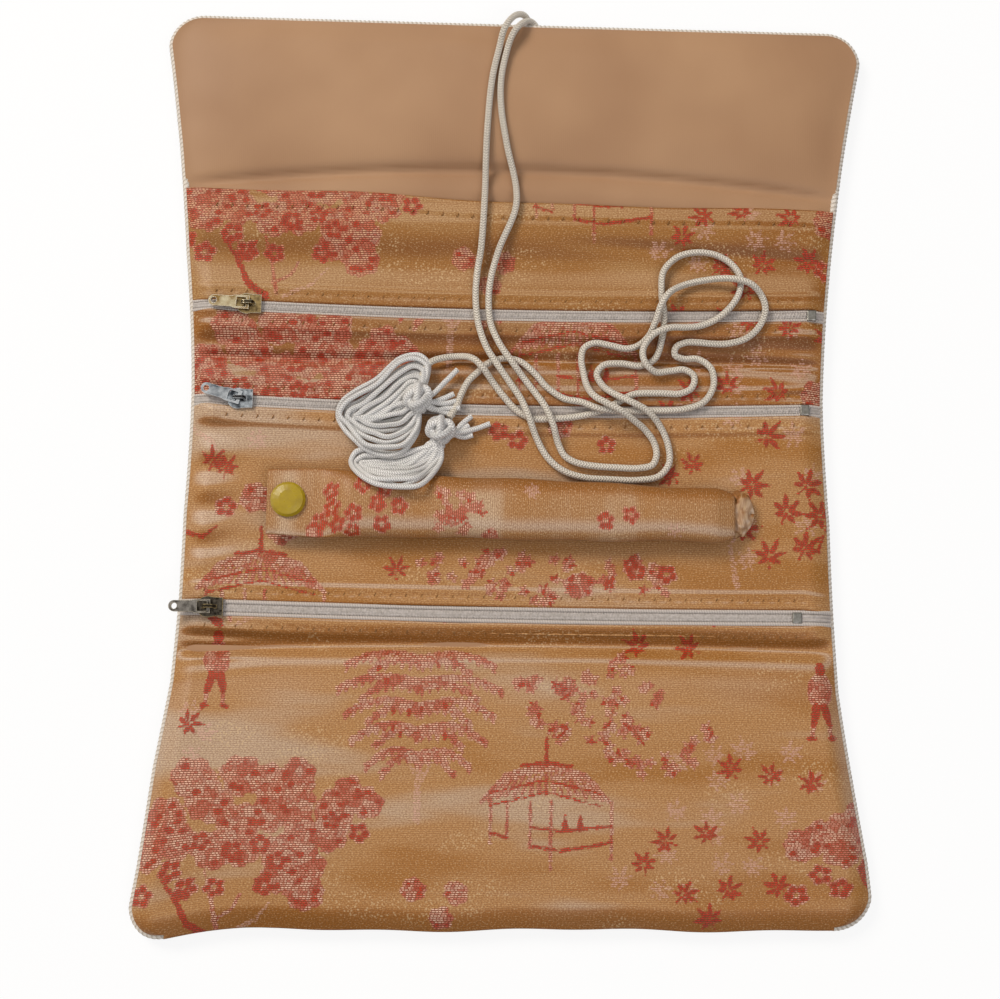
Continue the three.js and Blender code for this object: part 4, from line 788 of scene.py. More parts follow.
def makePanel(name, lowAt, highAt, heightAt, hems, rows, weaveShift, footEnd=False, layout=garden, cloth=brocade):
    look = panelLook
    across = np.linspace(-1, 1, int(2 * 92 / look["step"]))
    middle = np.zeros(1)
    tall = float((highAt(middle) - lowAt(middle))[0])
    t = np.linspace(0, 1, int(tall / look["step"]) + 1)
    if footEnd:
        t = np.union1d(t, (1 - np.sin(np.linspace(0, math.pi / 2, 18))) * roll["corner"] / tall)
    approx = across[None, :] * sideAt((lowAt(middle) + tall * t), look["inset"])[:, None]
    y = lowAt(approx) + (highAt(approx) - lowAt(approx)) * t[:, None]
    x = across[None, :] * sideAt(y, look["inset"])
    z = look["top"] + heightAt(x, y) + stitchDents(x, y, rows)
    for edgeAt, sign in hems:
        inward = (y - edgeAt(x)) * sign
        z = z + look["hem"] * (1 - smoothStep(look["hemWide"] - 0.8, look["hemWide"] + 0.8, inward))
    side = sideAt(y, look["inset"]) - np.abs(x)
    if footEnd:
        side = np.minimum(side, y - lowAt(x))
    z = look["seam"] + (z - look["seam"]) * np.sqrt(smoothStep(0, 6, side))
    face = np.stack([x, y, z], 2)
    rowsOut = [face]
    under = [(look["roll"] * math.sin(a), look["roll"] * (1 - math.cos(a))) for a in np.radians([55, 110, 165])]
    under.append((-2.6, 2 * look["roll"]))
    for edgeAt, sign in hems + ([(lowAt, 1)] if footEnd else []):    # the cloth rolls under at its edge
        edge = face[0 if sign > 0 else -1]
        lip = np.stack([edge + np.array((0, -sign * out, -drop)) for out, drop in under])
        rowsOut = [lip[::-1]] + rowsOut if sign > 0 else rowsOut + [lip]
    points = np.concatenate(rowsOut)
    piece = makePiece(name, settle(points).reshape(-1, 3), gridFaces(points.shape[0], points.shape[1]), cloth)
    weaveFigures(piece, points[:, :, 0] + weaveShift[0], points[:, :, 1] + weaveShift[1], layout)
    print(name, "cloth area, square metres:", round(sum(polygon.area for polygon in piece.data.polygons), 5))
    return piece


def mouthY(x):
    return 76.9 - 1.5 * np.tanh((x + 22) / 26) + 0.25 * np.sin(x / 9)


def slipHeight(x, y):
    t = (y - 47.0) / 30.0
    sag = ripple(x, y, 21, 70, 0.35, lean=1.3) + ripple(x, y, 22, 22, 0.12, lean=1.5)
    band = -1.3 * np.exp(-((t - 0.36) / 0.19) ** 2) + 0.5 * np.exp(-((t - 0.72) / 0.2) ** 2)
    crease = -0.5 * np.exp(-((t - 0.62 + 0.002 * x) / 0.07) ** 2) * smoothStep(0, 50, x)
    return sag + band + crease - 1.6 * smoothStep(0.72, 1.0, t)


def zipEdge(name, side, out=0.0):
    # the cloth's edge at a zip, or a line beside it; the gap closes toward the side seams
    zipper = zips[name]

    def edgeAt(x):
        closing = 0.35 * smoothStep(zipper["slider"] - 3, zipper["slider"] - 12, x)
        closing = closing + 0.5 * smoothStep(zipper["stop"] + 2, zipper["stop"] + 8, x)
        return chainY(name, x) + side * (zipper["half"] + 0.25 - 1.3 * closing + out)
    return edgeAt


def zipHem(name, side):
    return zipEdge(name, side, stitchLook["hemLine"])


def mouthHem(x):
    return mouthY(x) - stitchLook["mouthLine"]


def makeStitches(name, lineAt, body, shift, heightAt, half):
    # hand stitches along a hem: short slanting ticks of thread, sunk at both ends
    ticks = []
    for x in np.arange(-half + shift, half, stitchLook["pitch"]):
        y = float(lineAt(np.array(x)))
        z = panelLook["top"] + panelLook["hem"] + float(heightAt(np.array(x), np.array(y)))
        t = np.linspace(-1, 1, 7)
        line = np.stack([x + t * stitchLook["lean"], y + t * stitchLook["long"] / 2, z + 0.02 - 0.42 * t ** 4], 1)
        points, _ = tubePoints(line, 6, lambda a, b: stitchLook["thick"])
        ticks.append((points, tubeFaces(len(line), 6)))
    piece = makePiece(name, *joinParts(ticks), sewingThread)
    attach(piece, body)


def joinParts(parts):
    points, faces, count = [], [], 0
    for p, f in parts:
        points.append(p)
        faces += [[count + k for k in face] for face in f]
        count += len(p)
    return np.concatenate(points), faces


panels["slip"] = makePanel("slipPocketPanel", zipEdge("zip1", 1), mouthY, slipHeight,
                           [(zipEdge("zip1", 1), 1), (mouthY, -1)],
                           [(zipHem("zip1", 1), 0.0), (mouthHem, 1.6)], (-10.0, -5.0), cloth=slipBrocadeShaded)
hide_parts("slip_pocket_panel")
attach(panels["slip"], "upper")


def firstHeight(x, y):
    off = y - (roll["upperFold"] - 1.2 + 0.6 * np.sin(x / 30))
    valley = -2.5 * np.exp(-(off / 2.0) ** 2) - 1.0 * np.exp(-((off - 4) / 2.6) ** 2)
    pinch = 1.5 * np.exp(-((off + 0.9) / 0.8) ** 2) * (0.5 + 0.5 * np.sin(x / 17 + 1.2 * np.sin(x / 9) + 1.6))
    ends = 0.9 * np.exp(-((np.abs(x) - 88) / 12) ** 2) * np.sin(off * 0.9 + 0.6)
    return valley + pinch + ends * 0.5 + ripple(x, y, 31, 40, 0.22, lean=1.45)


panels["first"] = makePanel("firstPocketPanel", zipEdge("zip2", 1), zipEdge("zip1", -1), firstHeight,
                            [(zipEdge("zip2", 1), 1), (zipEdge("zip1", -1), -1)],
                            [(zipHem("zip2", 1), 1.4), (zipHem("zip1", -1), 2.0)],
                            (-6.0, 46.0), cloth=slackBrocadeShaded)
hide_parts("first_pocket_panel_upper", "first_pocket_panel_lower")
bendOver(panels["first"])


def barHeight(x, y):
    sag = ripple(x, y, 41, 60, 0.4) + ripple(x, y, 42, 24, 0.14, lean=1.4)
    fan = 0.7 * np.exp(-((x + 85) / 9) ** 2) * np.sin(y * 0.62 + 0.05 * y * np.sin(x / 6))
    fan = fan * smoothStep(12, 4, np.abs(y + 6) - 14)
    return sag + fan + 0.4 * np.exp(-((y + 30) / 6) ** 2)


panels["bar"] = makePanel("ringBarPocketPanel", zipEdge("zip3", 1), zipEdge("zip2", -1), barHeight,
                          [(zipEdge("zip3", 1), 1), (zipEdge("zip2", -1), -1)],
                          [(zipHem("zip3", 1), 0.6), (zipHem("zip2", -1), 3.0)], (0.0, 0.0), layout=grove)
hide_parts("ring_bar_pocket_panel")
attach(panels["bar"], "middle")


def footY(x):
    # the cloth rolls over the foot's edge in a slow wave
    return roll["foot"] + 0.7 + 0.35 * np.sin(x / 13) + 0.25 * np.sin(x / 5.5 + 1)


def lowerHeight(x, y):
    off = y - (roll["lowerFold"] + 0.4 + 1.2 * np.sin(x / 46 + 0.8))
    valley = -2.7 * np.exp(-((off - 0.2) / 2.7) ** 2)
    pleat = 0.5 * np.exp(-((off + 4.6) / 2.6) ** 2) * (0.6 + 0.4 * np.sin(x / 23 + 1))
    gathers = 0.9 * np.exp(-((x + 84) / 14) ** 2 - ((off - 1) / 5) ** 2) * np.sin(off * 1.3 * (1 + (x + 88) / 60))
    crown = 2.1 * np.sin(np.clip((roll["lowerFold"] - y) / 24, 0, 1) * math.pi / 2)
    crown = crown * smoothStep(roll["foot"] - 4, roll["foot"] + 34, y)
    return valley + pleat + gathers + crown + ripple(x, y, 51, 64, 0.35, lean=1.35) + ripple(x, y, 52, 30, 0.12)


panels["lower"] = makePanel("lowerPocketPanel", footY, zipEdge("zip3", -1), lowerHeight,
                            [(zipEdge("zip3", -1), -1)],
                            [(zipHem("zip3", -1), 1.1)], (0.0, 88.0), footEnd=True)
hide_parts("lower_pocket_panel_strip", "lower_pocket_panel")
bendOver(panels["lower"])
for name, lineAt, body, shift, heightAt, half in (
        ("stitchesSlipLower", zipHem("zip1", 1), "upper", 0.6, slipHeight, 84),
        ("stitchesSlipMouth", mouthHem, "upper", 1.6, slipHeight, 86),
        ("stitchesFirstUpper", zipHem("zip1", -1), "upper", 2.0, firstHeight, 82),
        ("stitchesFirstLower", zipHem("zip2", 1), "middle", 1.4, firstHeight, 82),
        ("stitchesBarUpper", zipHem("zip2", -1), "middle", 3.0, barHeight, 82),
        ("stitchesBarLower", zipHem("zip3", 1), "middle", 0.6, barHeight, 84),
        ("stitchesLowerHem", zipHem("zip3", -1), "middle", 1.1, lowerHeight, 84)):
    makeStitches(name, lineAt, body, shift, heightAt, half)
print("pocket panels made:", len(panels))

# piping: a twisted cord sewn into the seam all round
pipingLook = {"diameter": 2.4, "height": 3.0, "inset": 1.2, "lay": 1.25, "sides": 12, "step": 0.3}


def pipingRadius(along, around):
    turn = (around * 2 + along / pipingLook["lay"]) * math.pi
    return pipingLook["diameter"] / 2 * (0.86 + 0.14 * np.abs(np.cos(turn)))


def edgeLine(ys, side):
    return [(side * float(sideAt(y, pipingLook["inset"])), y, pipingLook["height"]) for y in ys]


def cornerLine(top, side):
    r = roll["corner"]
    yc = (roll["top"] - r - pipingLook["inset"]) if top else (roll["foot"] + r + pipingLook["inset"])
    xc = roll["endHalf"] - r - pipingLook["inset"]
    turns = np.linspace(0, math.pi / 2, 12)[1:]
    up = 1 if top else -1
    return [(side * (xc + r * math.cos(a)), yc + up * r * math.sin(a), pipingLook["height"]) for a in turns]


def makePiping(name, line):
    path = settle(smoothPath(line, pipingLook["step"]))
    points, lay = tubePoints(path, pipingLook["sides"], pipingRadius)
    piece = makePiece(name, points, tubeFaces(len(path), pipingLook["sides"]), twistedPiping)
    setAttribute(piece, "lay", "FLOAT_VECTOR", lay)
    return piece


topTurn = roll["top"] - roll["corner"] - pipingLook["inset"]
footTurn = roll["foot"] + roll["corner"] + pipingLook["inset"]
rightUp = edgeLine(np.linspace(backCuts["upper"], topTurn, 9), 1) + cornerLine(True, 1)
leftUp = edgeLine(np.linspace(backCuts["upper"], topTurn, 9), -1) + cornerLine(True, -1)
across = [(x, roll["top"] - pipingLook["inset"], pipingLook["height"]) for x in np.linspace(80, -80, 9)]
pipingTop = makePiping("pipingFlap", rightUp + across + leftUp[::-1])
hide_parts("flap_piping")
bendOver(pipingTop)
for side, word in ((-1, "left"), (1, "right")):
    line = edgeLine(np.linspace(backCuts["middle"], backCuts["upper"], 10), side)
    run = makePiping("piping" + word.capitalize(), line)
    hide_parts("upper_piping_" + word)
    bendOver(run)
rightDown = edgeLine(np.linspace(backCuts["middle"], footTurn, 14), 1) + cornerLine(False, 1)
leftDown = edgeLine(np.linspace(backCuts["middle"], footTurn, 14), -1) + cornerLine(False, -1)
# at the foot it lies under the cloth
low = roll["foot"] + pipingLook["inset"] + 1.1, pipingLook["height"] - 0.8
across = [(x, *low) for x in np.linspace(76, -76, 9)]
pipingLower = makePiping("pipingLower", rightDown + across + leftDown[::-1])
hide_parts("lower_piping", "middle_piping_left", "middle_piping_right")
bendOver(pipingLower)
print("piping made")

# zips: woven tape with a corded edge on each side of the nylon coil; sizes as shares of the chain's half width
chainLook = {"ridgeAt": 0.72, "ridge": 0.27, "ridgeZ": 6.5, "tapeHalf": 5.1, "tapeZ": 5.4, "pitch": 0.85,
             "toothZ": 6.75, "tooth": 0.27, "head": 0.36, "coreZ": 6.35}


def chainDrop(name, x, high, low):
    # the zip runs down into the side seams at its ends
    side = sideAt(zips[name]["y"], 1.2) - np.abs(x)
    return low + (high - low) * np.sqrt(smoothStep(0, 6, side))


for name, zipper in zips.items():
    half = float(sideAt(zipper["y"], 1.3))
    wide = zipper["half"]
    xs = np.linspace(-half, half, 240)
    ys = np.linspace(-chainLook["tapeHalf"], chainLook["tapeHalf"], 9)
    tapeX, tapeOff = np.meshgrid(xs, ys)
    tape = np.stack([tapeX, chainY(name, tapeX) + tapeOff, chainDrop(name, tapeX, chainLook["tapeZ"], 3.7)], 2)
    tapePiece = makePiece(name + "Tape", settle(tape).reshape(-1, 3), gridFaces(len(ys), len(xs)), zipTape)
    ridges, lays = [], []
    for sign in (-1, 1):
        ridgeY = chainY(name, xs) + sign * chainLook["ridgeAt"] * wide
        line = np.stack([xs, ridgeY, chainDrop(name, xs, chainLook["ridgeZ"], 4.2)], 1)
        line = settle(evenSteps(line, 0.4))
        points, lay = tubePoints(
            line, 12, lambda a, b: chainLook["ridge"] * wide * (1 + 0.03 * np.cos(a * turnFull / 0.9)))
        ridges.append((points, tubeFaces(len(line), 12)))
        lays.append(lay)
    points, faces = joinParts(ridges)
    ridgePiece = makePiece(name + "TapeRidges", points, faces, tapeEdge)
    setAttribute(ridgePiece, "lay", "FLOAT_VECTOR", np.concatenate(lays))
    ring = np.arange(6) / 6 * turnFull
    line = np.stack([xs, chainY(name, xs), chainDrop(name, xs, chainLook["coreZ"], 4.0)], 1)
    core, _ = tubePoints(settle(line), 12, lambda a, b: 0.3 + 0.36 * wide * np.abs(np.cos(b * turnFull)))
    teeth = [(core, tubeFaces(len(line), 12))]
    stations = [(0.46 * wide, chainLook["tooth"]), (0.2 * wide, chainLook["tooth"]),
                (-0.04 * wide, chainLook["head"]), (-0.2 * wide, chainLook["head"] * 0.6)]
    for side in (-1, 1):
        for at in np.arange(zipper["slider"] + 1, zipper["stop"] - 0.4, chainLook["pitch"]):
            x = at + (chainLook["pitch"] / 2 if side > 0 else 0)
            y = float(chainY(name, np.array(x)))
            tooth = [np.stack([x + r * np.cos(ring), np.full(6, y + side * off),
                               chainLook["toothZ"] + r * np.sin(ring)], 1) for off, r in stations]
            teeth.append((np.concatenate(tooth), tubeFaces(4, 6)))
    coilPiece = makePiece(name + "Coil", *joinParts(teeth), nylonCoil)
    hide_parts(name + "_upper_tape", name + "_lower_tape")
    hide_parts(name + "_upper_coil", name + "_lower_coil")
    for piece, slotName in ((tapePiece, "zip_tape"), (ridgePiece, "zip_tape"), (coilPiece, "zip_coil")):
        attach(piece, zipper["body"])
print("zips made")

# metal fittings keep their solids and get their finish, with small rounded edges
finishes = {"zip1_slider": brassZinc, "zip1_pull": brassPull, "zip2_slider": chromeZinc, "zip2_pull": chromePull,
            "zip3_slider": blackZinc, "zip3_pull": blackPull, "zip1_stop": nickelSteel, "zip2_stop": nickelSteel,
            "zip3_stop": nickelSteel, "snap_cap": enamelCap, "snap_socket": nickelSteel, "snap_stud": nickelSteel}
for name, material in finishes.items():
    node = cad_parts[name]
    node.data.materials.clear()
    node.data.materials.append(material)
    rounded = node.modifiers.new("roundedEdges", "BEVEL")
    rounded.width, rounded.segments = 0.24 * mm, 3
    rounded.limit_method, rounded.angle_limit = "ANGLE", math.radians(35)

# ring bar: a stuffed brocade tube, flat at the snap, gathered at the sewn end
barLook = {"left": -66.4, "right": 63.0, "y": -14.4, "base": 6.95, "tabTop": 11.5, "tabFloor": 9.9,
           "height": 8.4, "step": 0.6, "sides": 96}


def barShape(x, turn):
    # centre line, half width and lower and upper height along the bar
    t = (x - barLook["left"]) / (barLook["right"] - barLook["left"])
    centre = barLook["y"] + 2.2 - 1.8 * t
    half = 9.2 - 1.5 * smoothStep(0.1, 0.9, t) + 0.25 * np.sin(x / 11) + 0.18 * np.sin(x / 4.3 + 1)
    full = smoothStep(barLook["left"] + 14, barLook["left"] + 24, x)
    full = full * (1 - 0.35 * smoothStep(barLook["right"] - 8, barLook["right"], x))
    low = barLook["tabFloor"] + (barLook["base"] - barLook["tabFloor"]) * full
    high = barLook["tabTop"] + (barLook["base"] + barLook["height"] - barLook["tabTop"]) * full
    closing = np.sqrt(np.clip((barLook["right"] - x) / 5.0, 0, 1))
    half = half * (0.72 + 0.28 * closing)
    up = np.sign(np.sin(turn)) * np.abs(np.sin(turn)) ** 0.8
    out = np.sign(np.cos(turn)) * np.abs(np.cos(turn)) ** 0.75
    folds = 0.16 * np.sin(x / 2.9 + 3 * np.sin(x / 9)) * np.exp(-((turn - 4.1) / 0.8) ** 2) * full
    folds = folds + ripple(x, turn * 6, 61, 26, 0.16) * full
    y = centre + half * out
    z = (low + high) / 2 + (high - low) / 2 * up * (0.5 + 0.5 * closing) + folds
    return y, z


sides = barLook["sides"]
xs = np.linspace(barLook["left"], barLook["right"], int((barLook["right"] - barLook["left"]) / barLook["step"]))
turns = np.arange(sides) / sides * turnFull
gridX, gridTurn = np.repeat(xs[:, None], sides, 1), np.repeat(turns[None, :], len(xs), 0)
barY, barZ = barShape(gridX, gridTurn)
barPoints = np.stack([gridX, barY, barZ], 2)
bar = makePiece("ringBarCover", barPoints.reshape(-1, 3), tubeFaces(len(xs), sides), barBrocadeSheen)
girth = np.cumsum(np.linalg.norm(np.diff(barPoints, axis=1), axis=2), axis=1)
girth = np.concatenate([np.zeros((len(xs), 1)), girth], axis=1)
weaveFigures(bar, girth - 12.0, gridX, barRun, 9)
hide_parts("ring_bar_cover", "ring_bar_filling")
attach(bar, "ring_bar")

# sewn end: the tube's raw end, folded twice and stitched down
stubLook = {"left": 61.4, "right": 68.2, "y": -13.0, "half": 6.2, "low": 6.9, "high": 11.6, "rings": 40}
rings = stubLook["rings"]
s, turn = np.meshgrid(np.linspace(0, 1, rings), np.arange(rings) / rings * turnFull, indexing="ij")
bulge = np.sin(math.pi * np.clip(s * 0.92 + 0.08, 0, 1)) ** 0.6
folds = 0.5 * np.sin(turn * 5 + s * 7) + 0.3 * np.sin(turn * 9 - s * 12)
stubX = stubLook["left"] + (stubLook["right"] - stubLook["left"]) * s + 0.5 * np.sin(turn * 3)
stubY = stubLook["y"] + (stubLook["half"] + folds) * bulge * np.cos(turn)
stubTall = (stubLook["high"] - stubLook["low"]) / 2
stubZ = (stubLook["low"] + stubLook["high"]) / 2 + (stubTall + 0.4 * folds) * bulge * np.sin(turn)
stubPoints = np.stack([stubX, stubY, np.maximum(stubZ, stubLook["low"])], 2)
stub = makePiece("ringBarSewnEnd", stubPoints.reshape(-1, 3), tubeFaces(rings, rings), brocade)
weaveFigures(stub, 20.0 + turn, s * 3 - 38.0)
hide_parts("ring_bar_sewn_end")
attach(stub, "middle")
print("ring bar made")

# tie cord: two knitted strands from the top seam; each point is across, along, and how many cords it rides over
tie = {"diameter": 1.9, "z": 8.65, "rise": 2.4, "sides": 16, "step": 0.4, "lowest": -4.35, "span": 9}
leftTop = [(4.4, -1.6, -2.95), (4.0, 1.0, -2.6), (2.4, 2.6, -1.9), (0.2, 1.8, -1.1), (-2, -1.0, -0.4),
           (-3.4, -4, -0.1), (-4.6, -9, 0), (-6.4, -18, 0), (-7.6, -34, 0), (-7.9, -52, 0)]
leftRun = [(-8.6, 31.4, 0), (-9.6, 23.9, 0), (-9.9, 16.9, 0), (-9.1, 9.4, 0.15), (-6.8, 2.2, 1), (-3.2, -3.6, 1.05),
           (0.4, -8.6, 0.7), (3.4, -13, 0.75), (5.6, -18, 1.05), (8, -24, 0.3), (11, -29, 0), (15.4, -32.6, 0),
           (21.2, -34.4, 0), (28.4, -34.8, 0), (36.8, -34.8, 0), (42.2, -33.6, 0), (45, -30, 0), (44.8, -25, 0),
           (42.6, -20, 0.3), (38.6, -15.8, 1.25), (33.2, -13.1, 1.5), (28.6, -10.6, 0.9), (26, -8, 0.05),
           (24.6, -5, 0), (26.4, -2.4, 0), (31.5, -1.6, 0), (37.2, -2.1, 0), (41, 0, 0), (42.8, 5.1, 0),
           (43.5, 11.5, 0), (42.7, 18.4, 0), (43.2, 25.1, 0), (47, 29.5, 0), (52.1, 31.1, 0), (57.8, 30.6, 0),
           (62.3, 28.1, 0), (64.9, 24, 0), (64.6, 19.4, 0), (62.3, 15.3, 0), (58.4, 11.7, 0), (53.9, 9.6, 0),
           (49.4, 8.8, 0.4), (44.6, 8.2, 1.1), (40.2, 6.2, 1.15), (37.4, 2, 1.05), (38, -1.8, 1.1), (41, -4.2, 0.5),
           (45.4, -3.6, 0), (49.2, -3.2, 0), (51.9, -5, 0), (51.4, -8.2, 0), (48.3, -10, 0), (41.6, -10.1, 0),
           (34.9, -10.6, 0), (31, -12.7, 0), (27.1, -14.9, 0), (22.6, -16.5, 0), (18.2, -17.4, 0), (12.6, -18, 0),
           (6.4, -18, 0), (2.2, -15.8, 0), (-1.4, -12, 0), (-4.6, -8, 0.2), (-7.4, -4.4, 1.05), (-10.2, -1.6, 0.95),
           (-13.5, -0.4, 0.3), (-18.5, -1, 0.3), (-22.5, -3, 0.4), (-24.6, -7.2, 0.7)]
rightTop = [(6.6, -2.4, -2.95), (5.8, 0.2, -2.6), (4.2, 0.9, -2.0), (2.4, -0.4, -1.1), (0.2, -3.2, -0.4),
            (-1.2, -6, -0.1), (-2.4, -10, 0), (-3.8, -18, 0), (-3.7, -26, 0), (-1.8, -37, 0), (1, -48.4, 0),
            (0.9, -55.6, 0)]
rightRun = [(-3.6, 30.5, 0), (-5.6, 22.8, 0), (-6.2, 16.4, 0), (-5.6, 9.4, 0.1), (-3.2, 3.3, 0.9), (0.5, -2.2, 1.1),
            (4, -6.7, 0.4), (7.2, -10.8, 0.4), (10, -14.8, 0.95), (12.4, -20, 0.95), (14, -25.1, 0.1),
            (15.8, -28.4, 0), (18.9, -30.2, 0), (23.9, -31.1, 0), (30.1, -31.4, 0), (36.8, -31.4, 0),
            (40.4, -30.4, 0), (41.5, -27.8, 0), (40.9, -24.4, 0), (38.4, -21, 0.4), (35, -18.6, 1.2),
            (31, -16.2, 2.05), (27.1, -14.2, 2.05), (23.8, -12.2, 1.75), (21.8, -8.8, 0.6), (20.8, -4.6, 0.05),
            (20.2, -0.5, 0), (21, 2.7, 0), (23.8, 4.2, 0), (28, 3.7, 0), (33.1, 2.8, 0), (36.5, 3.8, 0),
            (39.3, 6.6, 0), (41, 10.6, 0.6), (42.3, 14.6, 1.1), (44.5, 18.1, 1.05), (48.5, 20.9, 0.2),
            (54.4, 22.6, 0.2), (61.8, 22.9, 1.05), (67.4, 21.4, 1.05), (70.9, 18.3, 0.1), (71.9, 14.3, 0),
            (70.2, 9.6, 0), (66.5, 6.1, 0), (61.2, 4.6, 0), (56.7, 4.6, 0), (53, 4.9, 0), (49.7, 4.8, 0),
            (46.9, 3.4, 0), (46.7, 1.2, 0), (48.9, 0.3, 0), (53.3, 0.2, 0), (56.8, -2.8, 0), (57.4, -7.6, 0),
            (54.8, -12.2, 0), (49.5, -14.4, 0), (39.4, -15.2, 0), (31.6, -15.8, 0.8), (24.9, -15.2, 1.05),
            (20.4, -13.4, 0.6), (15.3, -12.1, 0), (10.6, -9, 0), (7, -5, 0), (2.8, -1.6, 0), (-1.8, -0.8, 0),
            (-6, -2.4, 0), (-8.9, -5.1, 0), (-11.4, -7.6, 0), (-13.2, -11, 0), (-14.6, -14.8, 0.2),
            (-16.6, -18.7, 0.7)]


def knitted(radius, ribs):
    return lambda along, around: radius * (0.955 + 0.045 * np.abs(np.cos(around * ribs * math.pi)))


def clothZ(x, y):
    # height of the cloth or the chain under the cord
    z = backTop(x, y)
    for lowAt, highAt, heightAt in ((zipEdge("zip1", 1), mouthY, slipHeight),
                                    (zipEdge("zip2", 1), zipEdge("zip1", -1), firstHeight),
                                    (zipEdge("zip3", 1), zipEdge("zip2", -1), barHeight)):
        z = np.where((y > lowAt(x)) & (y < highAt(x)), panelLook["top"] + panelLook["hem"] + heightAt(x, y), z)
    for name in ("zip1", "zip2"):
        z = np.where(np.abs(y - chainY(name, x)) < zips[name]["half"] + 0.3, chainLook["toothZ"] + 0.35, z)
    return z


def layDown(path):
    # the cord sinks onto the cloth, and spans its small hollows
    ground = clothZ(path[:, 0], path[:, 1])
    wide = tie["span"]
    padded = np.pad(ground, wide, mode="edge")
    ground = np.max([padded[k:k + len(ground)] for k in range(2 * wide + 1)], axis=0)
    padded = np.pad(ground, wide, mode="edge")
    ground = np.mean([padded[k:k + len(ground)] for k in range(2 * wide + 1)], axis=0)
    sink = ground + tie["diameter"] / 2 + 0.05 - tie["z"]
    path[:, 2] += sink * smoothStep(126, 118, path[:, 1])
    return path


def makeCord(name, path, sides, radiusAt, material):
    points, lay = tubePoints(path, sides, radiusAt)
    piece = makePiece(name, points, tubeFaces(len(path), sides), material)
    setAttribute(piece, "lay", "FLOAT_VECTOR", lay)
    return piece


cordRadius = knitted(tie["diameter"] / 2, 5)
for word, top, run in (("Left", leftTop, leftRun), ("Right", rightTop, rightRun)):
    route = [(x, roll["top"] + y, tie["z"] + over * tie["rise"]) for x, y, over in top]
    route += [(x, max(tie["lowest"], roll["upperFold"] + y), tie["z"] + over * tie["rise"]) for x, y, over in run]
    path = settle(layDown(smoothPath(route, tie["step"])))
    cut = int(np.argmax(path[:, 1] < backCuts["upper"]))
    first, rest = path[:cut + 1], path[cut:]
    upperCord = makeCord("tieCord" + word + "Top", first, tie["sides"], cordRadius, knittedCord)
    runCord = makeCord("tieCord" + word + "Run", rest, tie["sides"], cordRadius, knittedCord)
    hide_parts("tie_cord_" + word.lower())
    bendOver(upperCord)
    bendOver(runCord)
print("tie cord made")

# tassels: a button knot, nested loops of thin cord and cut ends; outlines of the widest and the tightest loop
loopLook = {"diameter": 1.5, "sides": 12, "step": 0.45, "bar": 16.5, "layer": 1.4}
tassels = {
    "tassel1": {"knot": (-25.4, 17.6, 12.2), "knotLong": 4.6, "knotWide": 3.6, "knotTurn": 62.0, "loops": 11,
                "floor": 8.7, "over": 2.6, "start": (-25.0, 15.4),
                "wide": [(-23.2, 23.0), (-22.6, 28.0), (-25.5, 30.2), (-30.8, 29.2), (-37.5, 22.9), (-43.2, 19.2),
                         (-46.6, 16.6), (-47.8, 12.9), (-45.4, 9.0), (-42.8, 5.5), (-39.5, 2.6), (-34.4, 1.1),
                         (-29.3, 2.2), (-25.9, 6.5), (-25.0, 10.7)],
                "tight": [(-26.2, 18.8), (-26.8, 20.4), (-28.0, 20.4), (-30.2, 17.6), (-33.4, 14.2), (-36.4, 11.8),
                          (-38.8, 10.8), (-39.6, 11.2), (-38.8, 12.6), (-37.0, 13.6), (-35.0, 14.6), (-32.4, 15.8),
                          (-30.0, 16.8), (-28.0, 17.2), (-26.6, 16.4)],
                "ends": [(-14.6, 26.4), (-15.4, 19.4), (-14.8, 17.4), (-13.6, 15.4), (-15.0, 13.6)]},
    "tassel2": {"knot": (-18.9, 8.7, 12.0), "knotLong": 4.1, "knotWide": 3.9, "knotTurn": 60.0, "loops": 10,
                "floor": 8.3, "over": 0.0, "start": (-19.4, 5.6),
                "wide": [(-21.6, 4.8), (-25.1, 3.2), (-33.0, 2.0), (-38.8, 3.0), (-42.2, 2.6), (-43.7, -0.2),
                         (-41.5, -4.4), (-36.0, -7.8), (-29.6, -8.6), (-24.6, -7.6), (-20.5, -3.6), (-18.4, 0.9),
                         (-18.6, 3.8)],
                "tight": [(-21.4, 4.0), (-23.5, 2.0), (-28.0, -1.8), (-33.0, -3.0), (-36.8, -2.8), (-38.4, -2.0),
                          (-37.6, -1.2), (-35.0, -0.8), (-31.0, -1.2), (-27.2, -0.6), (-24.2, 0.8), (-22.2, 2.2),
                          (-20.6, 3.6)],
                "ends": [(-10.4, 13.2), (-11.0, 10.6), (-5.2, 11.2), (-9.9, 7.8), (-10.8, 9.0)]},
}


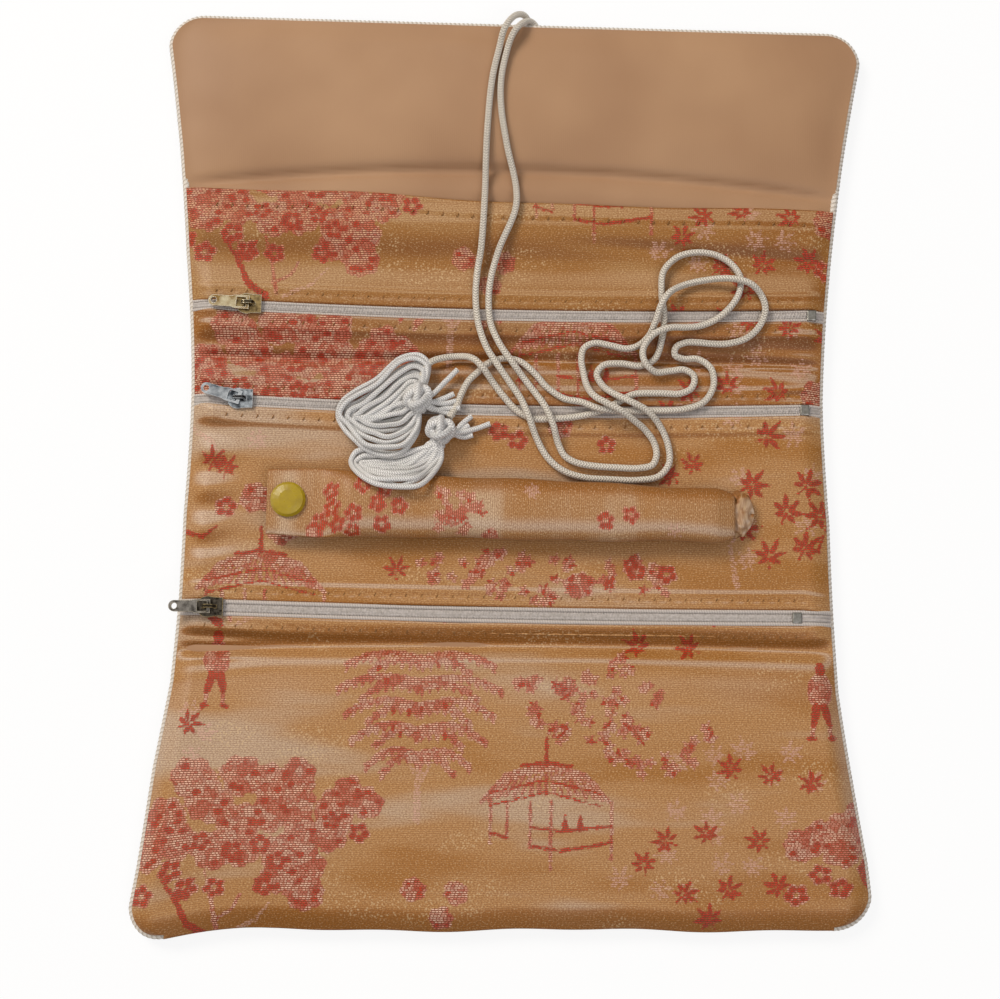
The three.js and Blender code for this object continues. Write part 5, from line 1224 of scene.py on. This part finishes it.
loopRadius = knitted(loopLook["diameter"] / 2, 4)
for name, tassel in tassels.items():
    draw = np.random.default_rng(len(tassel["wide"]))
    kx, ky, kz = tassel["knot"]
    route = []
    count = tassel["loops"]
    wide, tight = np.array(tassel["wide"]), np.array(tassel["tight"])
    for k in range(count):
        share = (k / (count - 1)) ** 1.3
        start = np.array(tassel["start"]) + 1.3 * np.array((k % 3 - 1, k // 3 - 1))
        route.append((start[0], start[1], kz - 1.8 + 0.5 * (k % 2)))
        for j, p in enumerate(tight + (wide - tight) * share):
            p = p + draw.normal(0, 0.22, 2)
            t = (j + 1) / (len(wide) + 1)
            floor = tassel["floor"] + tassel["over"] * smoothStep(11.0, 5.0, p[1])
            if tassel["over"] == 0:    # up onto the ring bar
                floor = floor + (loopLook["bar"] - floor) * smoothStep(-0.5, -7.0, p[1])
            lift = 1.2 * max(0.0, 1 - 5.0 * min(t, 1 - t)) + loopLook["layer"] * (k % 2)
            route.append((p[0], p[1], float(floor) + lift + 0.25 * math.sin(5 * t + 2 * k)))
    route.append((kx, ky, kz - 1.0))
    path = smoothPath(route, loopLook["step"])
    loops = makeCord(name + "Loops", path, loopLook["sides"], loopRadius, thinCord)
    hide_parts(name + "_loops")
    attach(loops, "middle")
    # knot: a Turk's head of three leads and four bights, over a ball of its own cord
    t = np.linspace(0, turnFull, 320)
    lat = 1.05 * np.sin(4 * t)
    out = 1 + 0.16 * np.sin(8 * t + 0.6)
    turn = math.radians(tassel["knotTurn"])
    wideR, longR = tassel["knotWide"] - 1.0, tassel["knotLong"] - 1.0
    girth = wideR * out * np.cos(lat)
    spun = np.stack([girth * np.cos(3 * t), longR * out * np.sin(lat), girth * np.sin(3 * t)], 1)
    ball = np.stack([kx + spun[:, 0] * math.sin(turn) + spun[:, 1] * math.cos(turn),
                     ky - spun[:, 0] * math.cos(turn) + spun[:, 1] * math.sin(turn), kz + spun[:, 2]], 1)
    strands = [(evenSteps(ball, 0.35), 1.05)]
    for k, (ex, ey) in enumerate(tassel["ends"]):
        sway = draw.normal(0, 0.6, 2)
        end = [(kx, ky, kz - 0.8),
               (kx + 0.3 * (ex - kx) + sway[0], ky + 0.3 * (ey - ky) - 1.2 + sway[1], kz - 1.8),
               (kx + 0.7 * (ex - kx), ky + 0.7 * (ey - ky) - 0.9, tassel["floor"] + 0.5),
               (ex, ey, tassel["floor"] + 0.1 + 0.4 * (k % 2))]
        strands.append((smoothPath(end, 0.4), loopLook["diameter"] / 2))
    parts, lays = [], []
    for line, r in strands:
        points, lay = tubePoints(line, 12, knitted(r, 4))
        parts.append((points, tubeFaces(len(line), 12)))
        lays.append(lay)
    core = np.stack([np.full(24, kx), np.full(24, ky), np.linspace(kz - 2.2, kz + 2.2, 24)], 1)
    points, lay = tubePoints(core, 12, lambda a, b: 2.3 * np.sqrt(np.clip(1 - ((a - 2.2) / 2.25) ** 2, 0.01, 1)))
    parts.append((points, tubeFaces(24, 12)))
    lays.append(lay)
    points, faces = joinParts(parts)
    knot = makePiece(name + "Knot", points, faces, thinCord)
    setAttribute(knot, "lay", "FLOAT_VECTOR", np.concatenate(lays))
    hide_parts(name + "_knot")
    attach(knot, "middle")
    print(name, "cord length, mm:", round(pathLength(path)))
print("tassels made")

# stage: pale floor and plain soft light
floorPlain, tree = newMaterial("paperFloorWhite")
ray = addNode(tree, "ShaderNodeLightPath").node
seen = addMath(tree, "MAXIMUM", ray.outputs["Is Camera Ray"], ray.outputs["Is Glossy Ray"])
seen = addMath(tree, "MAXIMUM", seen, ray.outputs["Is Transmission Ray"])
share = addMath(tree, "MULTIPLY", seen, 0.86)
paper = addNode(tree, "ShaderNodeBsdfDiffuse", {}, {"Color": hexColour("F4F3F1")})
white = addNode(tree, "ShaderNodeEmission", {}, {"Color": (1, 1, 1, 1), "Strength": 1.0})
finishMaterial(tree, addNode(tree, "ShaderNodeMixShader", {}, {0: share, 1: paper, 2: white}))
floorSize, floorZ = 3000.0, -0.3
corners = [(a * floorSize, b * floorSize, floorZ) for a, b in ((-1, -1), (1, -1), (1, 1), (-1, 1))]
floor = makePiece("floor", corners, [[0, 1, 2, 3]], floorPlain)
floor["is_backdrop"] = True
world = bpy.data.worlds.new("studio")
scene.world = world
world.use_nodes = True
tree = world.node_tree
tree.nodes.clear()
ray = addNode(tree, "ShaderNodeLightPath").node
seen = addMath(tree, "MAXIMUM", ray.outputs["Is Camera Ray"], ray.outputs["Is Transmission Ray"])
way = addNode(tree, "ShaderNodeTexCoord", out="Generated")
height = addNode(tree, "ShaderNodeSeparateXYZ", links={0: way}, out=2)
height = addRamp(tree, height, 0.1, 0.95, 0.08, 0.62)
soft = addNode(tree, "ShaderNodeBackground", {}, {"Color": hexColour("F6F4F2"), "Strength": height})
clear = addNode(tree, "ShaderNodeBackground", {}, {"Color": (1, 1, 1, 1), "Strength": 1.0})
sky = addNode(tree, "ShaderNodeMixShader", {}, {0: seen, 1: soft, 2: clear})
addNode(tree, "ShaderNodeOutputWorld", links={0: sky})
lamps = {"key": {"place": (-1050, 1050, 1350), "size": 800, "watt": 29.0, "tint": "FFF8EE"},
         "fill": {"place": (700, -900, 1700), "size": 1200, "watt": 10.0, "tint": "F6F7FF"}}
for word, lamp in lamps.items():
    light = bpy.data.lights.new(word, "AREA")
    light.size, light.energy, light.color = lamp["size"] * mm, lamp["watt"], hexColour(lamp["tint"])[:3]
    holder = bpy.data.objects.new(word, light)
    holder.location = [c * mm for c in lamp["place"]]
    holder.rotation_euler = (-holder.location).to_track_quat("-Z", "Y").to_euler()
    scene.collection.objects.link(holder)
print("stage made")

bpy.context.view_layer.update()
low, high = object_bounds()
